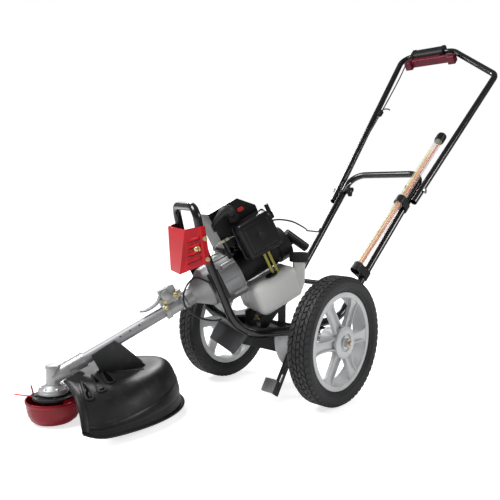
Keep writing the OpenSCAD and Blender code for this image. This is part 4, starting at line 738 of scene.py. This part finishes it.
def hood(q, t, inset=0.0):
    """Point of the hood at angle q and share t from its centre to its rim."""
    back, lift = turn(q)[0] ** 2, corner_lift(q)
    k = min(1.0, t / LIP_SHARE)
    rise = HOOD_RISE - LIP_Z - lift + HUMP_RISE * back * k ** EDGE_POWER - inset
    fall = k ** (EDGE_POWER + (BACK_POWER - EDGE_POWER) * back)
    return hood_at(q, t, HOOD_RIM + LIP_Z + lift + rise * (1 - fall), inset)


def on_hood(q, t):
    """Point of the hood and its outward direction."""
    a = hood(q + SLOPE_DEG, t) - hood(q - SLOPE_DEG, t)
    b = hood(q, min(t + SLOPE_SHARE, SLOPE_LAST)) - hood(q, t - SLOPE_SHARE)
    n = a.cross(b).normalized()
    return hood(q, t), n if n.z > 0 else -n


def hood_section(q):
    """Outer skin from the cut to the rim, then the inner skin back."""
    shares = [CUT_SHARE + (LIP_SHARE - CUT_SHARE) * (i / HOOD_ROWS) ** ROW_POWER for i in range(HOOD_ROWS + 1)]
    rim = HOOD_RIM + corner_lift(q)
    outer = [hood(q, t) for t in shares] + [hood_at(q, t, rim + LIP_Z * k) for t, k in LIP_ROUND]
    inner = [hood(q, t, HOOD_T) for t in reversed(shares)]
    for i, p in enumerate(inner):
        p.z = max(rim, p.z - (LIP_Z if i < LIP_ROWS else 0))
    return outer + inner


def shield():
    sections = [hood_section(HOOD_DEG * (2 * j / HOOD_COLS - 1)) for j in range(HOOD_COLS + 1)]
    o = piece("debris_shield_hood", rings(sections), spindle, "front", MOULDED, angle=50)
    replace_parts(o, "debris_shield")
    for hand, name in ((1, "near"), (-1, "far")):
        rails = ([], [])
        for i in range(FLANGE_STEPS + 1):
            t = FLANGE_FROM + (FLANGE_TO - FLANGE_FROM) * i / FLANGE_STEPS
            for rail, gap in zip(rails, (FLANGE_GAP, FLANGE_W)):
                rail.append(on_hood(hand * (HOOD_DEG - math.degrees(min(FLANGE_MOST, gap / (HOOD_X * t)))), t))
        piece(f"shield_flange_{name}", strip(rails, FLANGE_H), spindle, "front", MOULDED)
    angles = [HOOD_DEG * BEAD_SPAN * (2 * i / BEAD_STEPS - 1) for i in range(BEAD_STEPS + 1)]
    bead = strip([[on_hood(q, t) for q in angles] for t in BEAD_SHARES], BEAD_H)
    piece("shield_rim_bead", bead, spindle, "front", SHINY)


def scoops():
    def hood_seen(u, v):
        p, n = seen("debris_shield_hood", u, v)
        return p / MM, n
    for i, corners in enumerate(SCOOPS):
        spots = [hood_seen(*q) for q in corners]
        lift = sum((n for _, n in spots), Vector()).normalized()
        edge = smooth([p + n * SCOOP_R * SCOOP_SEAT for p, n in spots + spots[:1]], steps=5)
        piece(f"scoop_rim_{i}", tube(edge, SCOOP_R), plain, "front", MOULDED)
        # Sheet across each scoop's opening in the near-black finish: painted shade standing in for the recess
        shade_sheet = rings([[p + lift * rise for p in edge[:-1]] for rise in SHADE_SHEET_RISES])
        piece(f"scoop_mouth_{i}", shade_sheet, plain, "front", PAINTED_SHADE, flat=True)
    path = smooth([hood_seen(*q)[0] for q in LEDGE], steps=5)
    piece("shield_ledge", tube(path, LEDGE_R), plain, "front", MOULDED)


# Red guard: pressed louvres with painted shade in the slits under them, and the bolt on each wing

WING = [((42, 219, 312), (98, 176, 340)), ((74, 216, 414), (98, 187, 422))]
WING_H = 82.0
LOUVRES, LOUVRE_FROM, LOUVRE_TO, LOUVRE_H, LOUVRE_W = (0.2, 0.37, 0.54, 0.71), 0.28, 0.86, 3.2, 7.0
LOUVRE_STEPS, LOUVRE_END, LOUVRE_POWER = 12, 0.04, 0.5
# Sections: share of the width, share of the rise, height over the panel
LOUVRE_SECTION = [(-0.2, 1, 0), (0.25, 0.8, 0), (0.6, 0, 0.2), (-0.15, 0, 0.2)]
SLIT_SHADE_SECTION = [(-0.2, 0.9, 0), (-0.16, 0, 0.3), (-0.45, 0, 0.3), (-0.45, 0, 0.1)]
WING_BOLT_AT = (0.72, 0.46)
WING_BOLT = bolt(9.5, head=(1.4, 6.2), washer=[(8, 0), (8, 1.4), (4, 1.6)], sides=48,
                 stud=[(2.6, 6), (2.6, 9), (1.8, 9.6)])


def wing(hand):
    """Frame of a wing: share a outward, share b upward, out in millimetres."""
    (low0, low1), (top0, top1) = [[Vector(p) for p in edge] for edge in WING]
    n = (low1 - low0).cross(top0 - low0).normalized()
    n = n if n.y > 0 else -n

    def at(a, b, out):
        p = low0.lerp(low1, a).lerp(top0.lerp(top1, a), b) + n * out
        return front(hand * p.x, p.y, p.z)
    return at


def louvre(b, section):
    loops = []
    for i in range(LOUVRE_STEPS + 1):
        k = i / LOUVRE_STEPS
        a = LOUVRE_FROM + (LOUVRE_TO - LOUVRE_FROM) * k
        rise = LOUVRE_H * math.sin(math.pi * (LOUVRE_END + (1 - 2 * LOUVRE_END) * k)) ** LOUVRE_POWER
        loops.append([(a, b + LOUVRE_W / WING_H * w, rise * share + h) for w, share, h in section])
    return rings(loops)


def guard():
    for hand, name in ((1, "near"), (-1, "far")):
        at = wing(hand)
        fins, slit_shade = [joined(*(louvre(b, s) for b in LOUVRES)) for s in (LOUVRE_SECTION, SLIT_SHADE_SECTION)]
        piece(f"guard_louvres_{name}", fins, at, "front", RED)
        # Black strips just under the louvres: painted shade for the open slits
        piece(f"guard_slits_{name}", slit_shade, at, "front", RUBBER)
        seat = at(*WING_BOLT_AT, 0)
        place = facing(seat, at(*WING_BOLT_AT, 1) - seat)
        piece(f"guard_bolt_{name}", WING_BOLT, place, "front", BRASSY)


# Air filter cover

FILTER_AT, FILTER_W, FILTER_H, FILTER_R = (16.5, 66.0), 93.0, 92.0, 12.0
FILTER_LEAST_R, FILTER_R_FALL, FILTER_ARC = 2.0, 0.5, 7
# Steps of the cover: how far it is drawn in, and how far out
FILTER_STEPS = [(0, 57.7), (0, 61.2), (0.6, 61.8), (2.0, 62.4), (2.6, 86), (3.4, 90), (5.4, 92.8), (8.6, 94.2),
                (12, 94.6), (14, 94.4), (14.8, 95.6), (16, 96.3), (19, 96.5)]
FILTER_KNOB = [(11, 96.2), (11, 97.4), (8.4, 97.8), (8.0, 101.6), (6.6, 103), (2, 103.2)]
KNOB_FLUTES, KNOB_DEPTH = 8, 0.7


def filter_shell():
    loops = []
    for inset, l in FILTER_STEPS:
        r = max(FILTER_LEAST_R, FILTER_R - inset * FILTER_R_FALL)
        outline = rounded(FILTER_W - 2 * inset, FILTER_H - 2 * inset, r, FILTER_ARC, FILTER_AT)
        loops.append([(*q, l) for q in outline])
    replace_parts(piece("filter_cover_shell", rings(loops), near_side, "front", SHINY),
                "filter_cover")
    knob = moved(lathe(FILTER_KNOB, sides=64, flutes=KNOB_FLUTES, depth=KNOB_DEPTH), (*FILTER_AT, 0))
    piece("filter_cover_knob", knob, near_side, "front", MOULDED)


# Fuel tank: shell with rounded ends, neck, seam, hose grommet and cap grip

TANK_CORNERS = [(-40, -42), (80, -42), (88, -120), (-32, -120)]
TANK_ROUND, TANK_ARC, TANK_X, TANK_END, TANK_STEPS, TANK_BLUNT = 18.0, 8, 70.0, 17.0, 32, 1.35
NECK, NECK_TOP = [(5, 258), (11, 267), (14, 279), (15, 292), (15, 346)], 346.0
# Seam: place across and how far the outline is drawn in
SEAM = [(-1.2, 0.4), (-0.8, -0.7), (0.8, -0.7), (1.2, 0.4)]
GROMMET, HOSE_A, HOSE_L = [(15, -42.4), (15, -39.4), (12, -38.4), (4, -38)], 20.0, 50.0
SIDE_UP = Matrix(((1, 0, 0), (0, 0, 1), (0, 1, 0)))
FUEL_CAP = [(21.4, -14.4), (22.4, -13.6), (22.4, 1.2), (21.6, 3.2), (19, 5.2), (9, 6.1), (2, 6.3)]
FUEL_CAP_FLUTES, FUEL_CAP_DEPTH = 18, 0.5


def tank_loop(l, inset):
    """Section of the tank: its leaning outline, drawn in and rounded."""
    corners = [Vector(c) for c in TANK_CORNERS]
    r, out = TANK_ROUND - inset, []
    for i, c in enumerate(corners):
        before, after = (c - corners[i - 1]).normalized(), (corners[(i + 1) % 4] - c).normalized()
        m, n = Vector((-before.y, before.x)), Vector((-after.y, after.x))
        middle = c - (m + n) * TANK_ROUND / (1 + m.dot(n))
        sweep = math.atan2(m.x * n.y - m.y * n.x, m.dot(n))
        for k in range(TANK_ARC + 1):
            t = math.atan2(m.y, m.x) + sweep * k / TANK_ARC
            out.append((middle.x + r * math.cos(t), middle.y + r * math.sin(t), l))
    return out


def tank():
    loops = []
    for i in range(TANK_STEPS + 1):
        k = math.sin(math.pi * (i / TANK_STEPS - 0.5))
        flat = max(-1, min(1, k * TANK_BLUNT))
        beyond = max(0, abs(k) - 1 / TANK_BLUNT) / (1 - 1 / TANK_BLUNT) * math.pi / 2
        l = flat * (TANK_X - TANK_END) + math.copysign(TANK_END * math.sin(beyond), flat) * (beyond > 0)
        loops.append(tank_loop(l, TANK_END * (1 - math.cos(beyond))))
    shell = piece("fuel_tank_shell", rings(loops), near_side, "front", TANK, angle=60)
    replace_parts(shell, "fuel_tank")
    neck = piece("fuel_tank_neck", lathe(NECK), filler, "front", TANK, angle=60)
    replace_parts(neck, "fuel_tank")
    seam = rings([tank_loop(l, inset) for l, inset in SEAM], caps=False)
    piece("fuel_tank_seam", seam, near_side, "front", TANK)
    grommet = moved(lathe(GROMMET, sides=40), (HOSE_A, 0, HOSE_L), SIDE_UP)
    piece("tank_grommet", grommet, near_side, "front", MOULDED)
    cap = lathe(FUEL_CAP, sides=96, flutes=FUEL_CAP_FLUTES, depth=FUEL_CAP_DEPTH)
    piece("fuel_cap_grip", moved(cap, (0, 0, NECK_TOP)), filler, "filler_cap", MOULDED)


# Fan housing: cast bosses with their screws, rims and ribs; the black duct shroud over it

BOSS_R, BOSS_DEGS = 56.0, (38, 142, 218, 322)
BOSS, BOSS_HOLE = [(7.5, 86), (7.5, 118), (6.5, 120)], [(3.4, 85.2), (3.4, 86.4), (1.5, 86.5)]
BOSS_SCREW, BOSS_SCREW_FROM, BOSS_SCREW_TO = 8.0, 119.5, 123.5
FAN_LIPS = [[(58.2, 128), (61, 129), (61, 134.6), (58, 135.4)],
            [(58.1, 84.6), (59.6, 85.4), (59.6, 88.4), (58.1, 89.4)]]
FAN_RIBS, FAN_RIB = 12, box(57, 60, -1.4, 1.4, 90, 128, edge=0.5)
SHROUD_FAR, SHROUD_NEAR, SHROUD_BACK, SHROUD_FRONT = -50.8, 42.8, 83.2, 93.0
SHROUD_BORE, SHROUD_TOP, SHROUD_STEPS = 58.3, 63.6, 24
DUCT_FAR, DUCT_NEAR, DUCT_OUT, DUCT_INSET, DUCT_EDGE = -40.0, 30.0, 4.0, 0.2, 1.0
WEB_LOW, WEB_T, WEB_EDGE = 16.0, 0.7, 0.2


def bosses():
    spots = [on_ring(BOSS_R, deg) for deg in BOSS_DEGS]
    cast = [moved(lathe(BOSS, sides=28), at) for at in spots]
    cast += [lathe(lip, sides=96) for lip in FAN_LIPS]
    cast.append(around(FAN_RIB, FAN_RIBS))
    piece("fan_housing_bosses", joined(*cast), down_boom, "front", CAST)
    screw = joined(lathe(BOSS_HOLE, sides=20), slab(hexagon(BOSS_SCREW), BOSS_SCREW_FROM, BOSS_SCREW_TO))
    screws = joined(*(moved(screw, at) for at in spots))
    piece("fan_housing_screws", screws, down_boom, "front", STEEL)


def fan_shroud():
    loops = []
    for i in range(SHROUD_STEPS + 1):
        l = SHROUD_FAR + (SHROUD_NEAR - SHROUD_FAR) * i / SHROUD_STEPS
        low = math.sqrt(SHROUD_BORE ** 2 - l ** 2)
        loops.append([(l, low, SHROUD_BACK), (l, SHROUD_TOP, SHROUD_BACK), (l, SHROUD_TOP, SHROUD_FRONT),
                      (l, low, SHROUD_FRONT)])
    piece("fan_duct_shroud", rings(loops), down_boom, "front", MOULDED)
    lip = box(SHROUD_BACK, SHROUD_FRONT + DUCT_OUT, SHROUD_BORE + DUCT_INSET, SHROUD_TOP - DUCT_INSET,
              DUCT_FAR, DUCT_NEAR, DUCT_EDGE)
    web = box(SHROUD_BACK, SHROUD_BACK + WEB_T, WEB_LOW, SHROUD_TOP, SHROUD_FAR, SHROUD_NEAR, WEB_EDGE)
    piece("fan_duct_lip", joined(lip, web), near_side, "front", MOULDED)


# Engine trim: plug boot, cover ribs, throttle rod and adjuster, case bolt, starter vents and rope

BOOT = [(46, 128, 46), (46, 136, 58), (50, 146, 63), (60, 149, 63), (74, 144, 61), (86, 138, 58),
        (95, 130, 52), (94, 116, 42)]
BOOT_R = [9, 11.5, 12.5, 11.5, 8.5, 6.0, 4.0, 3.6]
COVER_RIBS, COVER_RIB, COVER_RIB_GAP = 5, box(-10, -6, 70, 108, 43.6, 45.6), 17.0
ROD = [(60, 86, 57), (76, 88, 55), (101, 88, 55), (116, 82, 50), (128, 66, 42), (132, 44, 36)]
ROD_R = 0.9
SLEEVE_FROM, SLEEVE_LEN, SLEEVE_U, SLEEVE_L, SLEEVE_STEPS = 77.0, 24.0, 88.0, 55.0, 24
SLEEVE_RIBS = (3.6, 2.6, 2.6, 3.6)
BRACKET = box(86, 89, 60, 92, 40, 58)
CASE_BOLT_SEEN = (242, 293)
CASE_BOLT = bolt(10, head=(1, 6), washer=[(8, -1), (8, 1.2), (5, 1.6)], sides=28)
VENTS, VENT = 10, box(16, 34, -2, 2, -62.6, -61.8, edge=0.3)
ROPE_R, ROPE_U, ROPE_STOPS = 1.6, -14.0, (-57.0, -60.0, -63.0, -66.0)


def throttle_trim():
    piece("throttle_rod", tube(smooth(ROD), ROD_R, sides=10), near_side, "front", STEEL)
    places = range(SLEEVE_STEPS + 1)
    sleeve = [(SLEEVE_FROM + SLEEVE_LEN * i / SLEEVE_STEPS, SLEEVE_U, SLEEVE_L) for i in places]
    radii = [SLEEVE_RIBS[i % len(SLEEVE_RIBS)] for i in places]
    piece("throttle_adjuster", tube(sleeve, radii, sides=16), near_side, "front", CREAM)
    piece("adjuster_bracket", BRACKET, near_side, "front", SATIN)


def engine_trim():
    piece("plug_boot", swollen(BOOT, BOOT_R), near_side, "front", RUBBER)
    ribs = joined(*(moved(COVER_RIB, (COVER_RIB_GAP * i, 0, 0)) for i in range(COVER_RIBS)))
    piece("top_cover_ribs", ribs, near_side, "front", SHINY)
    throttle_trim()
    place = facing(*seen("crankcase", *CASE_BOLT_SEEN))
    piece("crankcase_bolt", CASE_BOLT, place, "front", STEEL)
    piece("starter_vents", around(VENT, VENTS), down_boom, "front", RUBBER)
    rope = tube([(0, ROPE_U, a) for a in ROPE_STOPS], ROPE_R)
    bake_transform(piece("starter_rope", rope, down_boom, None, CREAM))


# Boom: clamp with its barrel, lever, collars and bolts; dark plugs as painted shade in the adjusting holes;
# bands on the gearbox socket

BARREL_A, BARREL_U, BARREL_STOPS, BARREL_R = 256.0, 35.0, (-17, -16, 16, 17), [9.5, 11.5, 11.5, 9.5]
LEVER = [(258, 40, 0), (268, 37, 0), (280, 27, 0), (296, 24, 0), (312, 25, 0), (324, 30, 0)]
LEVER_HALF, LEVER_NARROW, LEVER_T = 9.5, 3.0, 2.2
COLLARS = [[(17.6, 262), (20.4, 263), (20.4, 275), (17.4, 276.4), (13.3, 276.6)],
           [(17.6, 221.4), (19.4, 222.2), (19.4, 232), (17.6, 233)]]
CLAMP_BOLTS = [(236, 26, 13), (270, 10, 17.4)]
CLAMP_BOLT = bolt(8, head=(1.2, 6), washer=[(6.4, 0), (6.4, 1.2), (4, 1.4)], sides=28,
                  stud=[(2.2, 6), (2.2, 9), (1, 9.4)], stud_sides=16)
BOOM_R, BOOM_HOLES = 13.0, (340.0, 363.5, 388.0)
HOLE_R, HOLE_DEG, HOLE_SINK, HOLE_PROUD = 1.9, 28.0, 1.0, 0.12
SOCKET_R, SOCKET_BANDS = 16.5, (482.0, 500.0, 515.0)
BAND = [(SOCKET_R - 0.3, -2), (SOCKET_R + 0.9, -1.4), (SOCKET_R + 0.9, 1.4), (SOCKET_R - 0.3, 2)]


def clamp():
    barrel = [(BARREL_A, BARREL_U, l) for l in BARREL_STOPS]
    piece("clamp_barrel", tube(barrel, BARREL_R, sides=32), near_side, "front", PALE_CAST)
    path, loops = smooth(LEVER, steps=5), []
    for i, q in enumerate(path):
        w = LEVER_HALF - LEVER_NARROW * i / (len(path) - 1)
        loops.append([(q.x, q.y - LEVER_T, -w), (q.x, q.y - LEVER_T, w), (q.x, q.y + LEVER_T, w),
                      (q.x, q.y + LEVER_T, -w)])
    piece("clamp_lever", rings(loops), near_side, "front", DRAWN)
    collars = joined(*(lathe(profile, sides=64) for profile in COLLARS))
    piece("clamp_collars", collars, down_boom, "front", PALE_CAST)
    bolts = joined(*(moved(CLAMP_BOLT, at) for at in CLAMP_BOLTS))
    piece("clamp_bolts", bolts, near_side, "front", BRASSY)


def boom_trim():
    c, s = turn(HOLE_DEG)
    depths = (BOOM_R - HOLE_SINK, BOOM_R + HOLE_PROUD)
    # Black plugs at the adjusting holes: painted shade for the holes, which are not cut into the boom
    hole_shade = joined(*(tube([(a, r * s, r * c) for r in depths], HOLE_R, sides=20) for a in BOOM_HOLES))
    piece("boom_holes", hole_shade, near_side, "front", RUBBER)
    bands = joined(*(moved(lathe(BAND, sides=64), (0, 0, a)) for a in SOCKET_BANDS))
    piece("socket_bands", bands, down_boom, "front", PALE_CAST)


# Cutting head: gearbox rings and bolts, a loop of line, the bowl with its rolled lip

GEARBOX_TOP = [(14.6, 114.6), (16, 115.4), (16, 122.4), (15, 123.9), (12, 124.4), (3, 124.5)]
GEARBOX_BAND = [(30.6, 64), (32, 64.8), (32, 68.6), (30.6, 69.4)]
GEARBOX_BOLTS, GEARBOX_BOLT_R, GEARBOX_BOLT_DEG = 6, 25.0, 15
GEARBOX_BOLT = bolt(8, head=(72.4, 77), washer=[(6, 72.4), (6, 73.6), (4, 73.8)], sides=24)
LINE_LOOP = [(-13, -40, 57), (-12, -42, 66), (-14, -44, 75), (-19, -45, 77), (-23, -43, 70), (-22, -41, 57)]
LINE_LOOP_R = 1.7
BOWL_PROFILE = [(4, 0.2), (30, 0.2), (41, 2.6), (49, 9), (54, 19), (56.6, 31), (57.2, 44), (58.6, 44.8),
                (59.9, 46.4), (59.9, 50.6), (59, 51.9), (57.4, 51.9), (56.4, 50.4), (54.6, 44), (53.6, 31),
                (50.6, 19), (45, 9.6), (36, 5), (4, 4.2)]


def gearbox():
    bands = joined(lathe(GEARBOX_TOP, sides=64), lathe(GEARBOX_BAND, sides=80))
    piece("gearbox_rings", bands, spindle, "front", PALE_CAST)
    turns = [360 * i / GEARBOX_BOLTS + GEARBOX_BOLT_DEG for i in range(GEARBOX_BOLTS)]
    bolts = joined(*(moved(GEARBOX_BOLT, on_ring(GEARBOX_BOLT_R, deg)) for deg in turns))
    piece("gearbox_bolts", bolts, spindle, "front", STEEL)
    piece("line_loop", tube(smooth(LINE_LOOP, steps=5), LINE_LOOP_R), spindle, "head", BOWL)


def bowl():
    shell = piece("glide_bowl_shell", ring(BOWL_PROFILE, sides=96), spindle, "head", BOWL)
    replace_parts(shell, "glide_bowl")


# Swivel's washer plate and bolt; clip and tie on the handle cable

PLATE_OUTLINE, PLATE_Z = rounded(60, 24, r=6, at=(-62, 14)), (165.4, 167.4)
PLATE_BOLT_AT = (-64, 11, 0)
PLATE_BOLT = bolt(13, head=(168.6, 176), washer=[(10, 167.2), (10, 168.8), (7, 169)], sides=28,
                  stud=[(4, 176), (4, 181), (3, 181.6)])
CLIP_BLOCK, CLIP_R = box(-157, -146, 372, 396, 6, 21, edge=2), 2.2
CLIP_HOOK = [(-150, 390, 18), (-138, 394, 22), (-122, 392, 22), (-114, 388, 20)]
TIE, TIE_R = [(-112, -14, 11), (-98, -16, 26), (-76, -20, 46), (-58, -24, 56)], 1.1


def fastenings():
    piece("swivel_washer_plate", slab(PLATE_OUTLINE, *PLATE_Z), swivel, "front", STEEL)
    piece("swivel_plate_bolt", moved(PLATE_BOLT, PLATE_BOLT_AT), swivel, "front", BRASSY)
    clip = joined(CLIP_BLOCK, tube(smooth(CLIP_HOOK, steps=5), CLIP_R))
    piece("cable_clip", clip, handle, "upper", MOULDED)
    piece("cable_tie_tail", tube(smooth(TIE, steps=5), TIE_R, sides=8), handle, "carriage", PALE)


# Studio: white background, three soft lights, a pale floor that brightens into the distance

SKY, SKY_STRENGTH, WHITE = (0.95, 0.97, 1, 1), 0.2, (1, 1, 1, 1)
# Lights: name, place, size, watts
LIGHTS = [("key", (-1.0, -2.0, 2.9), 1.7, 125), ("rim", (-2.6, 1.2, 2.0), 1.0, 46),
          ("side", (2.6, 0.9, 1.9), 0.8, 28)]
LIGHT_AIM = Vector((0, 0, 0.4))
FLOOR_HALF, FLOOR_Z, FLOOR_SCALE, FLOOR_ROUGH = 14.0, -0.0005, 3, 0.9
FLOOR_DARK, FLOOR_PALE = (0.9, 0.9, 0.9, 1), (0.93, 0.93, 0.93, 1)
GLOW_UNSEEN, GLOW_NEAR, GLOW_FAR, GLOW_FROM, GLOW_TO = 0.12, 0.72, 1.1, 1.0, 3.0


def backdrop():
    world = bpy.data.worlds.new("studio")
    bpy.context.scene.world = world
    world.use_nodes = True
    sky, white = world.node_tree.nodes["Background"], add(world, "Background")
    put(sky, {"Color": SKY, "Strength": SKY_STRENGTH})
    put(white, {"Color": WHITE, "Strength": 1.0})
    mix = add(world, "MixShader")
    link(world, add(world, "LightPath").outputs["Is Camera Ray"], mix.inputs["Fac"])
    link(world, sky.outputs["Background"], mix.inputs[1])
    link(world, white.outputs["Background"], mix.inputs[2])
    link(world, mix.outputs["Shader"], world.node_tree.nodes["World Output"].inputs["Surface"])


def lights():
    for name, at, size, watts in LIGHTS:
        data = bpy.data.lights.new(name, "AREA")
        data.size, data.energy = size, watts
        o = bpy.data.objects.new(name, data)
        bpy.context.collection.objects.link(o)
        o.location = at
        o.rotation_euler = (LIGHT_AIM - Vector(at)).to_track_quat("-Z", "Y").to_euler()


def floor_material():
    """Pale floor that keeps its shadow; it glows for the camera, more so far away, and faintly for all other
    rays, so that it also lights the object from below.
    """
    m, shader = blank("floor")
    link(m, ramp(m, noise(m, FLOOR_SCALE), FLOOR_DARK, FLOOR_PALE), shader.inputs["Base Color"])
    put(shader, {"Roughness": FLOOR_ROUGH, "Emission Color": WHITE})
    away = add(m, "VectorMath")
    away.operation = "LENGTH"
    link(m, add(m, "TexCoord").outputs["Object"], away.inputs[0])
    far = remap(m, away.outputs["Value"], {"From Min": GLOW_FROM, "From Max": GLOW_TO, "To Min": GLOW_NEAR,
                                           "To Max": GLOW_FAR})
    glow = add(m, "MapRange")
    put(glow, {"To Min": GLOW_UNSEEN})
    link(m, far, glow.inputs["To Max"])
    link(m, add(m, "LightPath").outputs["Is Camera Ray"], glow.inputs["Value"])
    link(m, glow.outputs["Result"], shader.inputs["Emission Strength"])
    return m


def studio():
    bpy.context.scene.view_settings.view_transform = "Standard"
    backdrop()
    lights()
    mesh = bpy.data.meshes.new("floor")
    corners = [(x * FLOOR_HALF, y * FLOOR_HALF, FLOOR_Z) for x, y in ((-1, -1), (1, -1), (1, 1), (-1, 1))]
    mesh.from_pydata(corners, [], [(0, 1, 2, 3)])
    mesh.materials.append(floor_material())
    floor = bpy.data.objects.new("floor", mesh)
    bpy.context.collection.objects.link(floor)


paint()
cords()
wheels()
pedal_skins()
storage()
shield()
scoops()
guard()
filter_shell()
tank()
bosses()
fan_shroud()
engine_trim()
clamp()
boom_trim()
gearbox()
fastenings()
bowl()
studio()
